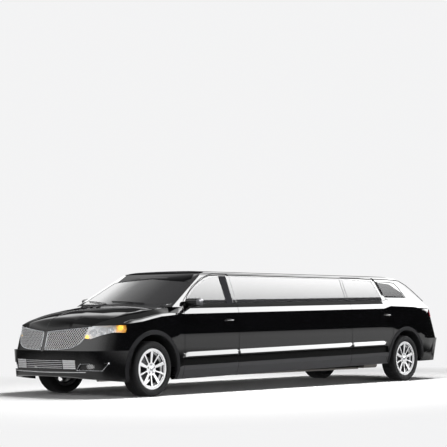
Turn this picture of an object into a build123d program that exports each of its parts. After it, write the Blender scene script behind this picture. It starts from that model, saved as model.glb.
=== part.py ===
from build123d import *
import os
from math import cos, radians, sin, sqrt

os.makedirs("parts", exist_ok=True)

# Stretch limousine in millimetres. X points forward, Y to the vehicle's left and Z up.
# The origin lies on the ground under the middle of the vehicle's length and width.

# ---------------------------------------------------------------- driving dimensions
WHEELBASE = 6043
FRONT_OVERHANG = 1130
REAR_OVERHANG = 1250
BODY_WIDTH = 1930
HEIGHT = 1712
TRACK = 1630                 # between the middles of the two tyres of an axle
SIDE_RISE = 0.0165           # how fast sill, mouldings and belt climb towards the rear

TYRE_RADIUS = 368.5
TYRE_WIDTH = 255
RIM_RADIUS = 271             # over the rim's flange
RIM_SEAT_RADIUS = 254        # where the tyre's bead sits
RIM_WIDTH = 212
RIM_BARREL_WALL = 14
SPOKE_PAIRS = 5

SHUT_GAP = 7                 # between a door, hood or tailgate and the panel beside it
SEAT_GAP = 0.3               # between faces that rest on each other and come apart
GLASS_GAP = 0.3              # between a pane's edge and its frame
RUNNING_GAP = 0.05           # between a spindle and its bore
PANEL_DEPTH = 60             # hood, fenders and bumpers
PILLAR_DEPTH = 55            # roof, pillars and window frames
DOOR_INNER_Y = 850           # inner face of doors and side walls
GLASS_THICKNESS = 6
GLASS_INSET = 3              # how far a pane lies inside its frame's face

FRONT_AXLE_X = (WHEELBASE + REAR_OVERHANG - FRONT_OVERHANG) / 2
REAR_AXLE_X = FRONT_AXLE_X - WHEELBASE
NOSE_X = FRONT_AXLE_X + FRONT_OVERHANG
TAIL_X = REAR_AXLE_X - REAR_OVERHANG
HALF_WIDTH = BODY_WIDTH / 2
WHEEL_Y = TRACK / 2


def front(behind):
    """X of a place so far behind the front axle."""
    return FRONT_AXLE_X - behind


def rear(behind):
    """X of a place so far behind the rear axle."""
    return REAR_AXLE_X - behind


def climb(x, height):
    """Height at x of a side line that is so high over the front axle."""
    return height + SIDE_RISE * (FRONT_AXLE_X - x)


# ---------------------------------------------------------------- side lines, over the front axle
SILL_Z = 207
SILL_Y = HALF_WIDTH - 60
WAIST_Z = 330                # where the sill's flank turns up into the door
WAIST_Y = HALF_WIDTH - 19
BARREL_Y = HALF_WIDTH - 5    # widest line of the door skin
BARREL_Z = 760
SHOULDER_Z = 1088
SHOULDER_Y = HALF_WIDTH - 13
BELT_Z = 1197
BELT_Y = HALF_WIDTH - 40
GROOVE_Z = (387, 490)        # dark channel between sill and moulding
GROOVE_Y = HALF_WIDTH - 36
LEDGE_Z = (490, 571)         # bright moulding along the doors
LEDGE_Y = HALF_WIDTH - 1

# ---------------------------------------------------------------- wheel arches
ARCH_RADIUS = 460
FLARE_WIDTH = 56
FLARE_DEPTH = 70
FRONT_ARCH_INNER_Y = 480
REAR_ARCH_INNER_Y = 660
LINER_WALL = 6

# ---------------------------------------------------------------- doors, hood and tailgate
FRONT_DOOR_HINGE_X = front(600)
FRONT_DOOR_REAR_X = front(1762)
REAR_DOOR_HINGE_X = rear(-1533)
REAR_DOOR_REAR_X = rear(-398)
HINGE_Y = HALF_WIDTH + 1
DOOR_TOP_Z = 1657
DOOR_INNERMOST_Y = 690       # a door's top reaches no further in than this
HOOD_REAR_X = front(150)
HOOD_SIDE_Y = 790
TAILGATE_FRONT_X = rear(117)
TAILGATE_HALF_WIDTH = 600
TAILGATE_BOTTOM_Z = 705

# ---------------------------------------------------------------- glasshouse
WINDSHIELD_FOOT_X = front(259)   # on the centre line, at GLASSHOUSE_Z
WINDSHIELD_RAKE = 1.8            # run per rise
WINDSHIELD_BOW = 3600            # radius of its plan
HATCH_FOOT_X = rear(863)
HATCH_RAKE = 1.68
HATCH_BOW = 3000
GLASSHOUSE_Z = 1190
GLASSHOUSE_FOOT_Y = HALF_WIDTH - 40
CANT_RAIL = (HALF_WIDTH - 205, 1612)
CANT_MIDDLE = (HALF_WIDTH - 250, 1666)
ROOF_EDGE = (HALF_WIDTH - 325, HEIGHT - 20)

# ---------------------------------------------------------------- nose and tail
NOSE_Z = 620                 # height of the foremost line
NOSE_LEAN = 0.27             # how far the face leans back for each unit up
CHIN_LEAN = 0.12
TAIL_Z = 690
TAIL_LEAN = 0.433
TAIL_TUCK = 0.3


# ================================================================ shared shapes
def side_prism(outline, low_y, high_y):
    """What lies between two Y values inside an outline drawn as (x, z) in the side view."""
    with BuildPart() as prism:
        with BuildSketch(Plane.XZ.offset(-high_y)):
            with BuildLine():
                Polyline(*outline, close=True)
            make_face()
        extrude(amount=high_y - low_y)
    return prism.part


def front_prism(outline, low_x, high_x):
    """What lies between two X values inside an outline drawn as (y, z) in the front view."""
    with BuildPart() as prism:
        with BuildSketch(Plane(origin=(low_x, 0, 0), x_dir=(0, 1, 0), z_dir=(1, 0, 0))):
            with BuildLine():
                Polyline(*outline, close=True)
            make_face()
        extrude(amount=high_x - low_x)
    return prism.part


def plan_prism(outline, low_z, high_z):
    """What lies between two heights inside an outline drawn as (x, y) in plan."""
    with BuildPart() as prism:
        with BuildSketch(Plane.XY.offset(low_z)):
            with BuildLine():
                Polyline(*outline, close=True)
            make_face()
        extrude(amount=high_z - low_z)
    return prism.part


def box_between(low, high):
    """A box from its lowest to its highest corner."""
    middle = [(a + b) / 2 for a, b in zip(low, high)]
    with BuildPart() as block:
        with Locations(tuple(middle)):
            Box(high[0] - low[0], high[1] - low[1], high[2] - low[2])
    return block.part


def cross_tube(x, z, radius, low_y, high_y):
    """A round bar along Y."""
    with BuildPart() as bar:
        with BuildSketch(Plane.XZ.offset(-high_y)):
            with Locations((x, z)):
                Circle(radius)
        extrude(amount=high_y - low_y)
    return bar.part


def both_sides(left):
    """A left-hand solid with its mirror image on the right."""
    with BuildPart() as pair:
        add(left)
        mirror(about=Plane.XZ)
    return pair.part


def right_hand(left):
    """The mirror image of a left-hand solid."""
    with BuildPart() as mirrored:
        add(left)
        mirror(about=Plane.XZ, mode=Mode.REPLACE)
    return mirrored.part


def finish(shape, name):
    """Label a finished piece and write it."""
    shape.label = name
    export_step(shape, f"parts/{name}.step")


# ================================================================ the body's outer form
# One row a section: x, shoulder's half-width and height, top edge's half-width and height,
# height of the centre line. Between the doors the sections climb with SIDE_RISE.
DOOR_FRONT_X = front(600)
DOOR_KICK_X = rear(-640)
BODY_SECTIONS = (
    (front(-1240), 900, 700, 600, 640, 690),
    (front(-1060), 915, 800, 620, 800, 893),
    (front(-980), 922, 835, 640, 903, 1006),
    (front(-930), 926, 852, 655, 925, 1040),
    (front(-750), 931, 890, 690, 990, 1098),
    (front(-560), 936, 928, 715, 1040, 1135),
    (front(-270), 942, 988, 745, 1100, 1162),
    (front(0), 947, 1040, 770, 1142, 1184),
    (front(150), 950, 1066, HOOD_SIDE_Y, 1160, 1204),
    (DOOR_FRONT_X, SHOULDER_Y, climb(DOOR_FRONT_X, SHOULDER_Z), BELT_Y,
     climb(DOOR_FRONT_X, BELT_Z), 1240),
    (DOOR_KICK_X, SHOULDER_Y, climb(DOOR_KICK_X, SHOULDER_Z), BELT_Y - 20,
     climb(DOOR_KICK_X, BELT_Z), 1320),
    (rear(-440), SHOULDER_Y - 3, 1218, 890, 1335, 1360),
    (rear(230), SHOULDER_Y - 6, 1206, 880, 1332, 1360),
    (rear(720), 905, 1172, 800, 1240, 1275),
    (rear(960), 890, 1090, 790, 1120, 1170),
    (rear(1400), 870, 900, 760, 960, 1000),
)


def body_block(inset, belly):
    """The body below the glass, drawn in by an inset and closed below at its belly."""
    faces = []
    for x, shoulder_y, shoulder_z, edge_y, edge_z, crown_z in BODY_SECTIONS:
        sill_z = climb(x, SILL_Z) - belly
        waist_z = climb(x, WAIST_Z)
        barrel_z = (waist_z + shoulder_z) / 2
        with BuildSketch(Plane(origin=(x, 0, 0), x_dir=(0, 1, 0), z_dir=(1, 0, 0))) as section:
            with BuildLine() as outline:
                for side in (1, -1):
                    Line((0, sill_z), (side * (SILL_Y - inset), sill_z))
                    Line((side * (SILL_Y - inset), sill_z), (side * (WAIST_Y - inset), waist_z))
                    ThreePointArc((side * (WAIST_Y - inset), waist_z),
                                  (side * (BARREL_Y - inset), barrel_z),
                                  (side * (shoulder_y - inset), shoulder_z - inset))
                    Line((side * (shoulder_y - inset), shoulder_z - inset),
                         (side * (edge_y - inset), edge_z - inset))
                ThreePointArc((edge_y - inset, edge_z - inset), (0, crown_z - inset),
                              (inset - edge_y, edge_z - inset))
            make_face()
        faces.append(section.sketch)
    with BuildPart() as block:
        loft(sections=faces, ruled=True)
    return block.part


# Arcs round half an end in plan, from the centre line outwards: start, middle and end as
# (distance in from the tip, half-width). The nose is rounder above its foremost line than below.
NOSE_UPPER = (((8, 0), (43, 330), (105, 545)), ((105, 545), (232, 735), (470, 872)),
              ((470, 872), (760, 934), (1180, HALF_WIDTH)))
NOSE_LOWER = (((0, 0), (18, 310), (45, 500)), ((45, 500), (128, 682), (285, 812)),
              ((285, 812), (590, 915), (1100, HALF_WIDTH)))
TAIL_UPPER = (((28, 0), (60, 420), (150, 780)), ((150, 780), (250, 870), (420, 925)),
              ((420, 925), (600, 955), (850, HALF_WIDTH)))
TAIL_LOWER = (((0, 0), (35, 420), (125, 790)), ((125, 790), (230, 885), (400, 935)),
              ((400, 935), (580, 960), (820, HALF_WIDTH)))
SHEAR_REACH = 900            # how far the leaning end faces are carried up or down


def leaning_end(arcs, tip_x, inward, inset, z, lean, up):
    """The long prism behind one end face, which leans inward by lean for each unit of height."""
    far_x = tip_x + inward * (WHEELBASE + FRONT_OVERHANG + REAR_OVERHANG + SHEAR_REACH)
    last = arcs[-1][2]
    with BuildPart() as prism:
        with BuildSketch(Plane.XY.offset(z)):
            with BuildLine():
                for side in (1, -1):
                    for points in arcs:
                        ThreePointArc(*((tip_x + inward * back, side * y) for back, y in points))
                    Line((tip_x + inward * last[0], side * last[1]), (far_x, side * last[1]))
                Line((far_x, last[1]), (far_x, -last[1]))
            make_face()
            if inset:
                offset(amount=-inset, mode=Mode.REPLACE)
        extrude(amount=SHEAR_REACH * sqrt(1 + lean ** 2), dir=(inward * lean, 0, up))
    return prism.part


def end_envelope(tip_x, inward, inset, z, upper, upper_lean, lower, lower_lean):
    """Everything inboard of the nose or the tail."""
    with BuildPart() as envelope:
        add(leaning_end(upper, tip_x, inward, inset, z, upper_lean, 1))
        add(leaning_end(lower, tip_x, inward, inset, z, lower_lean, -1))
    return envelope.part


def shaped_body(inset, belly):
    """The body below the glass with its nose and tail rounded off."""
    with BuildPart() as shaped:
        add(body_block(inset, belly))
        add(end_envelope(NOSE_X, -1, inset, NOSE_Z, NOSE_UPPER, NOSE_LEAN, NOSE_LOWER, CHIN_LEAN),
            mode=Mode.INTERSECT)
        add(end_envelope(TAIL_X, 1, inset, TAIL_Z, TAIL_UPPER, TAIL_LEAN, TAIL_LOWER, TAIL_TUCK),
            mode=Mode.INTERSECT)
    return shaped.part


ROOF_FRONT_X = front(1030)       # where the roof's front edge starts, at ROOF_FRONT_Z
ROOF_FRONT_Z = 1612
ROOF_TAIL_X = rear(330)
ROOF_TAIL_Z = 1600


def glasshouse(inset):
    """The space inside windshield, side glass, roof and hatch, drawn in by an inset."""
    foot_y = GLASSHOUSE_FOOT_Y - inset * 1.07
    low = GLASSHOUSE_Z - (0 if not inset else 60)
    spread = 0 if not inset else 60 * 0.39
    with BuildPart() as house:
        with BuildSketch(Plane(origin=(rear(1000), 0, 0), x_dir=(0, 1, 0), z_dir=(1, 0, 0))):
            with BuildLine():
                for side in (1, -1):
                    Line((side * (foot_y + spread), low),
                         (side * (CANT_RAIL[0] - inset * 1.07), CANT_RAIL[1]))
                    ThreePointArc((side * (CANT_RAIL[0] - inset * 1.07), CANT_RAIL[1]),
                                  (side * (CANT_MIDDLE[0] - inset * 0.8), CANT_MIDDLE[1] - inset * 0.6),
                                  (side * (ROOF_EDGE[0] - inset * 0.6), ROOF_EDGE[1] - inset))
                ThreePointArc((ROOF_EDGE[0] - inset * 0.6, ROOF_EDGE[1] - inset), (0, HEIGHT - inset),
                              (inset * 0.6 - ROOF_EDGE[0], ROOF_EDGE[1] - inset))
                Line((foot_y + spread, low), (-foot_y - spread, low))
            make_face()
        extrude(amount=WHEELBASE + 1200)
        with BuildSketch(Plane.XZ.offset(-HALF_WIDTH)):
            with BuildLine():
                ThreePointArc((ROOF_FRONT_X, ROOF_FRONT_Z - inset), (front(1290), 1682 - inset),
                              (front(1700), HEIGHT - inset))
                Line((front(1700), HEIGHT - inset), (rear(-790), HEIGHT - inset))
                ThreePointArc((rear(-790), HEIGHT - inset), (rear(-280), 1692 - inset),
                              (ROOF_TAIL_X, ROOF_TAIL_Z - inset))
                Polyline((ROOF_TAIL_X, ROOF_TAIL_Z - inset), (rear(1100), ROOF_TAIL_Z - 200 - inset),
                         (rear(1100), low), (front(-200), low),
                         (front(-200), ROOF_FRONT_Z - 300 - inset), (ROOF_FRONT_X, ROOF_FRONT_Z - inset))
            make_face()
        extrude(amount=BODY_WIDTH, mode=Mode.INTERSECT)
        for foot_x, inward, bow, rake in ((WINDSHIELD_FOOT_X, -1, WINDSHIELD_BOW, WINDSHIELD_RAKE),
                                          (HATCH_FOOT_X, 1, HATCH_BOW, HATCH_RAKE)):
            draw = inset * sqrt(1 + rake ** 2)
            tip = foot_x + inward * (draw - rake * (GLASSHOUSE_Z - low))
            side_x = tip + inward * (bow - sqrt(bow ** 2 - HALF_WIDTH ** 2))
            far = tip + inward * (WHEELBASE + 2000)
            with BuildSketch(Plane.XY.offset(low)):
                with BuildLine():
                    ThreePointArc((side_x, -HALF_WIDTH), (tip, 0), (side_x, HALF_WIDTH))
                    Polyline((side_x, HALF_WIDTH), (far, HALF_WIDTH), (far, -HALF_WIDTH),
                             (side_x, -HALF_WIDTH))
                make_face()
            extrude(amount=700 * sqrt(1 + rake ** 2), dir=(inward * rake, 0, 1), mode=Mode.INTERSECT)
    return house.part


# ================================================================ regions of the body
FLARE_PROUD = 5
SILL_FLARE_Z = 12                # the flares end this far above the sill's edge
FIREWALL_X = (front(420), front(380))
CABIN_REAR_X = rear(830)
DOOR_HEIGHTS = (100, 2000)


def arch_cylinder(axle_x, radius, low_y, high_y):
    """A cylinder round one axle on the left-hand side."""
    return cross_tube(axle_x, TYRE_RADIUS, radius, low_y, high_y)


def flare(axle_x, body):
    """The raised lip round one left-hand wheel arch."""
    sill_z = climb(axle_x, SILL_Z) + SILL_FLARE_Z
    with BuildPart() as lip:
        add(arch_cylinder(axle_x, ARCH_RADIUS + FLARE_WIDTH, HALF_WIDTH - FLARE_DEPTH, HALF_WIDTH))
        add(box_between((axle_x - 600, 0, 0), (axle_x + 600, HALF_WIDTH, sill_z)), mode=Mode.SUBTRACT)
        add(body, mode=Mode.INTERSECT)
    return lip.part


def climbing_strip(profile, start_x, end_x):
    """A strip with a (y, z) profile that runs back along the rising side."""
    with BuildPart() as strip:
        with BuildSketch(Plane(origin=(start_x, 0, 0), x_dir=(0, 1, 0), z_dir=(1, 0, 0))):
            with BuildLine():
                Polyline(*((y, climb(start_x, z)) for y, z in profile), close=True)
            make_face()
        extrude(amount=(start_x - end_x) * sqrt(1 + SIDE_RISE ** 2), dir=(-1, 0, SIDE_RISE))
    return strip.part


LEDGE_SPAN = (front(584), rear(-596))
GROOVE_SPAN = (front(584), rear(-540))
ledge = climbing_strip(((900, LEDGE_Z[0]), (LEDGE_Y - 8, LEDGE_Z[0]), (LEDGE_Y, LEDGE_Z[0] + 14),
                        (LEDGE_Y, LEDGE_Z[1] - 26), (LEDGE_Y - 16, LEDGE_Z[1]), (900, LEDGE_Z[1])),
                       *LEDGE_SPAN)
groove = climbing_strip(((GROOVE_Y, GROOVE_Z[0]), (HALF_WIDTH + 20, GROOVE_Z[0]),
                         (HALF_WIDTH + 20, GROOVE_Z[1]), (GROOVE_Y, GROOVE_Z[1])), *GROOVE_SPAN)

body_outer = shaped_body(0, 0)
body_inner = shaped_body(PANEL_DEPTH, 100)
body_proud = shaped_body(-FLARE_PROUD, 0)
house_outer = glasshouse(0)
house_inner = glasshouse(PILLAR_DEPTH)

with BuildPart() as skin_builder:
    add(body_outer)
    add(both_sides(groove), mode=Mode.SUBTRACT)
    add(both_sides(ledge))
    for axle_x in (FRONT_AXLE_X, REAR_AXLE_X):
        add(both_sides(flare(axle_x, body_proud)))
    add(house_outer)
    add(house_inner, mode=Mode.SUBTRACT)
    add(box_between((CABIN_REAR_X, -DOOR_INNER_Y, 100), (FIREWALL_X[0], DOOR_INNER_Y, GLASSHOUSE_Z)),
        mode=Mode.SUBTRACT)
    for axle_x, inner_y in ((FRONT_AXLE_X, FRONT_ARCH_INNER_Y), (REAR_AXLE_X, REAR_ARCH_INNER_Y)):
        add(both_sides(arch_cylinder(axle_x, ARCH_RADIUS, inner_y, HALF_WIDTH + 50)),
            mode=Mode.SUBTRACT)
    for reach in ((FIREWALL_X[1], NOSE_X + 100), (TAIL_X - 100, rear(460))):
        end_void = box_between((reach[0], -HALF_WIDTH, 0), (reach[1], HALF_WIDTH, HEIGHT))
        add(body_inner & end_void, mode=Mode.SUBTRACT)
skin = skin_builder.part

# Outlines of the panels. Side views are (x, z), front views (y, z) and plans (x, y).
FENDER_OUTLINE = ((FRONT_DOOR_HINGE_X, 150), (FRONT_DOOR_HINGE_X, 1206), (front(560), 1240), (front(330), 1400),
                  (front(-900), 1400), (front(-900), 933), (front(-530), 933), (front(-505), 880),
                  (front(-470), 640), (front(-445), 480), (front(-300), 480), (front(-300), 150))
HOOD_OUTLINE = ((HOOD_REAR_X, HOOD_SIDE_Y), (front(-100), HOOD_SIDE_Y), (front(-560), 715),
                (front(-930), 650), (front(-1060), 600), (NOSE_X + 50, 560))
HOOD_LIP = ((0, 867), (634, 934), (HALF_WIDTH, 936))
GRILLE_WING = ((38, 628), (292, 636), (400, 647), (478, 663), (560, 709), (600, 775), (618, 850),
               (634, 926), (38, 863))
HEADLAMP_OUTLINE = ((-300, 784), (-200, 774), (-67, 820), (92, 857), (250, 853), (268, 898),
                    (252, 952), (22, 946), (-240, 936))
HEADLAMP_DATUM = (front(-650), 700)
LOWER_GRILLE_OUTLINE = ((-338, 500), (338, 500), (324, 376), (-324, 376))
FOG_OUTLINE = ((552, 372), (606, 452), (846, 464), (806, 362))
FOG_DEPTH = 40
FRONT_DOOR_OUTLINE = ((FRONT_DOOR_HINGE_X - SHUT_GAP, 150), (FRONT_DOOR_HINGE_X - SHUT_GAP, 1225),
                      (front(655), 1285), (front(910), 1470), (front(1150), 1590), (front(1355), 1644),
                      (front(1450), DOOR_TOP_Z), (FRONT_DOOR_REAR_X, DOOR_TOP_Z),
                      (FRONT_DOOR_REAR_X, 150))
FRONT_WINDOW = ((front(700), 1240), (front(700), 1290), (front(930), 1445), (front(1160), 1556),
                (front(1375), 1607), (front(1550), 1622), (front(1565), 1250))
MIDDLE_WINDOW = ((front(1812), 1254), (front(1812), 1630), (rear(-1583), 1630), (rear(-1583), 1298))
REAR_WINDOW = ((rear(-1478), 1300), (rear(-1478), 1630), (rear(-735), 1615), (rear(-620), 1400),
               (rear(-590), 1310))
QUARTER_WINDOW = ((rear(-615), 1596), (rear(-250), 1568), (rear(30), 1436), (rear(100), 1352),
                  (rear(-470), 1352))
WINDSHIELD_EDGE = ((838, 1228), (712, 1540), (0, 1590), (-712, 1540), (-838, 1228))
HATCH_WINDOW = ((530, 1308), (490, 1560), (-490, 1560), (-530, 1308))
REAR_SHUT = ((rear(-653), DOOR_TOP_Z), (rear(-478), 1330), (rear(-405), 1215), (rear(-393), 960),
             (rear(-405), 762))
REAR_SHUT_ARC = (ARCH_RADIUS + 96, 320)      # radius round the axle, and the height it ends at
# A door's rear edge steps forward inwards, so that it swings clear of the panel behind it.
# Each row holds the half-width that a step lies below and how far it is set forward.
FRONT_DOOR_STEPS = ((900, 7), (840, 18), (760, 31))
REAR_DOOR_STEPS = ((900, 7), (840, 25), (760, 53))


def seen_from_corner(outline, depth):
    """What lies behind an outline drawn on a plane across the left front corner."""
    middle = (HEADLAMP_DATUM[0], HEADLAMP_DATUM[1], 0)
    corner = Plane(origin=middle, x_dir=(-1, 1, 0), z_dir=(1, 1, 0)).offset(-depth)
    with BuildPart() as prism:
        with BuildSketch(corner):
            with BuildLine():
                Polyline(*outline, close=True)
            make_face()
        extrude(amount=2 * depth)
    return prism.part


def inset_outline(outline, amount):
    """The corner points of an outline drawn in evenly."""
    with BuildSketch() as sketch:
        with BuildLine():
            Polyline(*outline, close=True)
        make_face()
        offset(amount=-amount, kind=Kind.INTERSECTION, mode=Mode.REPLACE)
    wire = sketch.sketch.faces()[0].outer_wire()
    return [(v.X, v.Y) for v in (e.position_at(0) for e in wire.order_edges())]


with BuildPart() as glass_builder:
    add(glasshouse(GLASS_INSET))
    add(glasshouse(GLASS_INSET + GLASS_THICKNESS), mode=Mode.SUBTRACT)
house_glass = glass_builder.part

# ---------------------------------------------------------------- regions as solids
def hood_space(gap):
    """The room that the hood fills, widened by a gap."""
    side = [(x - gap if x == HOOD_REAR_X else x, y + gap) for x, y in HOOD_OUTLINE]
    region = plan_prism(side + [(x, -y) for x, y in side[::-1]], 850, HEIGHT)
    lip = [(y, z - gap) for y, z in HOOD_LIP] + [(HALF_WIDTH, HEIGHT), (-HALF_WIDTH, HEIGHT)]
    lip += [(-y, z - gap) for y, z in HOOD_LIP[:0:-1]]
    return region & front_prism(lip, front(1000), NOSE_X + 100)


headlamp_region = both_sides(seen_from_corner(HEADLAMP_OUTLINE, 400))
wing_region = both_sides(front_prism(GRILLE_WING, front(-300), NOSE_X + 100))
nose_region = box_between((front(-440), -HALF_WIDTH - 50, 0), (NOSE_X + 100, HALF_WIDTH + 50, 1200))
fender_region = side_prism(FENDER_OUTLINE, 480, HALF_WIDTH + 50)
tail_space = box_between((TAIL_X - 100, -TAILGATE_HALF_WIDTH - SHUT_GAP, TAILGATE_BOTTOM_Z - SHUT_GAP),
                         (TAILGATE_FRONT_X, TAILGATE_HALF_WIDTH + SHUT_GAP, HEIGHT + 50))
bumper_region = box_between((TAIL_X - 100, -HALF_WIDTH - 50, 0),
                            (rear(430), HALF_WIDTH + 50, TAILGATE_BOTTOM_Z - SHUT_GAP))


def rear_door_prism(gap):
    """The rear door's outline from the side, grown by a gap at its edges."""
    radius = REAR_SHUT_ARC[0] - gap
    end_z = REAR_SHUT_ARC[1]
    start = REAR_SHUT[-1]
    start_x = REAR_AXLE_X + sqrt(radius ** 2 - (start[1] - TYRE_RADIUS) ** 2)
    end_x = REAR_AXLE_X + sqrt(radius ** 2 - (end_z - TYRE_RADIUS) ** 2)
    shut = [(x - gap, z) for x, z in REAR_SHUT[:-1]]
    shut[0] = (shut[0][0], DOOR_TOP_Z + gap)
    spans = (start_x + end_x - 2 * REAR_AXLE_X, start[1] + end_z - 2 * TYRE_RADIUS)
    reach = radius / sqrt(spans[0] ** 2 + spans[1] ** 2)
    middle = (REAR_AXLE_X + spans[0] * reach, TYRE_RADIUS + spans[1] * reach)
    with BuildPart() as prism:
        with BuildSketch(Plane.XZ.offset(-HALF_WIDTH - 50)):
            with BuildLine():
                Polyline((end_x, end_z), (end_x, 150), (REAR_DOOR_HINGE_X - SHUT_GAP + gap, 150),
                         (REAR_DOOR_HINGE_X - SHUT_GAP + gap, DOOR_TOP_Z + gap), *shut, (start_x, start[1]))
                ThreePointArc((start_x, start[1]), middle, (end_x, end_z))
            make_face()
        extrude(amount=HALF_WIDTH + 50 - DOOR_INNERMOST_Y + gap)
    return prism.part


def front_door_prism(gap):
    """The front door's outline from the side, grown by a gap at its edges."""
    outline = [(x + gap * (x > front(1440)), z + gap * (z > 1200)) for x, z in FRONT_DOOR_OUTLINE]
    outline[0] = (FRONT_DOOR_HINGE_X - SHUT_GAP + gap, 150)
    outline[1] = (FRONT_DOOR_HINGE_X - SHUT_GAP + gap, 1225 + gap)
    outline[-2] = (FRONT_DOOR_REAR_X + SHUT_GAP - gap, DOOR_TOP_Z + gap)
    outline[-1] = (FRONT_DOOR_REAR_X + SHUT_GAP - gap, 150)
    return side_prism(outline, DOOR_INNERMOST_Y - gap, HALF_WIDTH + 50)


def cut_door(space, window, steps, rear_x):
    """A left-hand door cut from the skin: its space, less its window and its rear edge's steps."""
    with BuildPart() as panel:
        add(skin & space)
        for below_y, setback in steps:
            behind = box_between((rear_x - 50, 400, 100), (rear_x + 900, below_y, HEIGHT))
            add(behind - Pos(setback, 0, 0) * space, mode=Mode.SUBTRACT)
        add(side_prism(window, 500, HALF_WIDTH + 50), mode=Mode.SUBTRACT)
    return panel.part


def side_pane(window):
    """The left-hand pane of a side window."""
    return house_glass & side_prism(inset_outline(window, GLASS_GAP), 500, HALF_WIDTH + 50)


# ================================================================ outer panels
with BuildPart() as rear_bumper:
    add(skin & bumper_region)
finish(rear_bumper.part, "rear_bumper")

with BuildPart() as hood:
    add(skin & hood_space(0))
finish(hood.part, "hood")

with BuildPart() as headlamps:
    add(skin & headlamp_region)
    add(wing_region, mode=Mode.SUBTRACT)
    add(hood_space(SHUT_GAP), mode=Mode.SUBTRACT)
finish(headlamps.part, "headlamps")

wing = front_prism(GRILLE_WING, front(-300), NOSE_X + 100)
GRILLE_BAR_PITCH = 37
GRILLE_BAR_WIDTH = 9
GRILLE_FRAME = 16
GRILLE_DEPTH = 26
with BuildPart() as grille_builder:
    add(skin & wing)
    add(Pos(-GRILLE_DEPTH, 0, 0) * body_outer, mode=Mode.SUBTRACT)
    opening = front_prism(inset_outline(GRILLE_WING, GRILLE_FRAME), front(-300), NOSE_X + 100)
    for number in range(int((GRILLE_WING[-2][0] - GRILLE_WING[0][0]) / GRILLE_BAR_PITCH)):
        bar_y = GRILLE_WING[0][0] + (number + 1) * GRILLE_BAR_PITCH
        low_y = bar_y - GRILLE_BAR_PITCH + (GRILLE_BAR_WIDTH if number else 0)
        slot = box_between((front(-300), low_y, 600), (NOSE_X + 100, bar_y, 1000))
        add(opening & slot, mode=Mode.SUBTRACT)
with BuildPart() as upper_grille:
    add(both_sides(grille_builder.part))
    add(hood_space(SHUT_GAP), mode=Mode.SUBTRACT)
finish(upper_grille.part, "upper_grille")

lower_opening = front_prism(LOWER_GRILLE_OUTLINE, front(-300), NOSE_X + 100)
LOWER_SLOTS = 4
LOWER_BAR = 13
with BuildPart() as lower_grille:
    add(skin & lower_opening)
    low_z = LOWER_GRILLE_OUTLINE[2][1]
    pitch = (LOWER_GRILLE_OUTLINE[0][1] - low_z - LOWER_BAR) / LOWER_SLOTS
    inner_outline = inset_outline(LOWER_GRILLE_OUTLINE, LOWER_BAR)
    inner_opening = front_prism(inner_outline, front(-300), NOSE_X + 100)
    for number in range(LOWER_SLOTS):
        slot_z = low_z + LOWER_BAR + number * pitch
        slot = box_between((front(-300), -400, slot_z), (NOSE_X + 100, 400, slot_z + pitch - LOWER_BAR))
        add(inner_opening & slot, mode=Mode.SUBTRACT)
finish(lower_grille.part, "lower_grille")

FOG_LAMP_RADIUS = 32
FOG_LAMP_Y = 700
FOG_LAMP_Z = 416
FOG_LAMP_DEPTH = 25
fog_prism = front_prism(FOG_OUTLINE, front(-300), NOSE_X + 100)
fog_pocket = fog_prism - Pos(-FOG_DEPTH, 0, 0) * body_outer
chin_space = side_prism(((NOSE_X + 50, 0), (NOSE_X + 50, 300), (front(-1054), 288), (front(-942), 256),
                         (front(-666), 228), (front(-400), 203), (front(-400), 0)),
                        -HALF_WIDTH - 50, HALF_WIDTH + 50)
with BuildPart() as front_bumper:
    add(skin & nose_region)
    add(chin_space, mode=Mode.SUBTRACT)
    add(both_sides(fender_region), mode=Mode.SUBTRACT)
    add(hood_space(SHUT_GAP), mode=Mode.SUBTRACT)
    add(headlamp_region, mode=Mode.SUBTRACT)
    add(wing_region, mode=Mode.SUBTRACT)
    add(lower_opening, mode=Mode.SUBTRACT)
    add(both_sides(fog_pocket), mode=Mode.SUBTRACT)
finish(front_bumper.part, "front_bumper")

fog_bar = Plane(origin=(front(-500), FOG_LAMP_Y, FOG_LAMP_Z), z_dir=(1, 0, 0))
with BuildPart() as fog_lamps:
    with BuildSketch(fog_bar):
        Circle(FOG_LAMP_RADIUS)
    extrude(amount=FRONT_OVERHANG)
    add(Pos(-FOG_DEPTH + FOG_LAMP_DEPTH, 0, 0) * body_outer, mode=Mode.INTERSECT)
    add(Pos(-FOG_DEPTH, 0, 0) * body_outer, mode=Mode.SUBTRACT)
    mirror(about=Plane.XZ)
finish(fog_lamps.part, "fog_lamps")

windshield_prism = front_prism(WINDSHIELD_EDGE, front(1500), front(100))
cowl_space = box_between((front(600), -HOOD_SIDE_Y - SHUT_GAP, 100),
                         (HOOD_REAR_X - SHUT_GAP, HOOD_SIDE_Y + SHUT_GAP, HEIGHT))
with BuildPart() as fenders:
    add(skin & both_sides(fender_region))
    add(windshield_prism, mode=Mode.SUBTRACT)
    add(hood_space(SHUT_GAP), mode=Mode.SUBTRACT)
    add(headlamp_region, mode=Mode.SUBTRACT)
    add(cowl_space, mode=Mode.SUBTRACT)
finish(fenders.part, "fenders")

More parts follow.
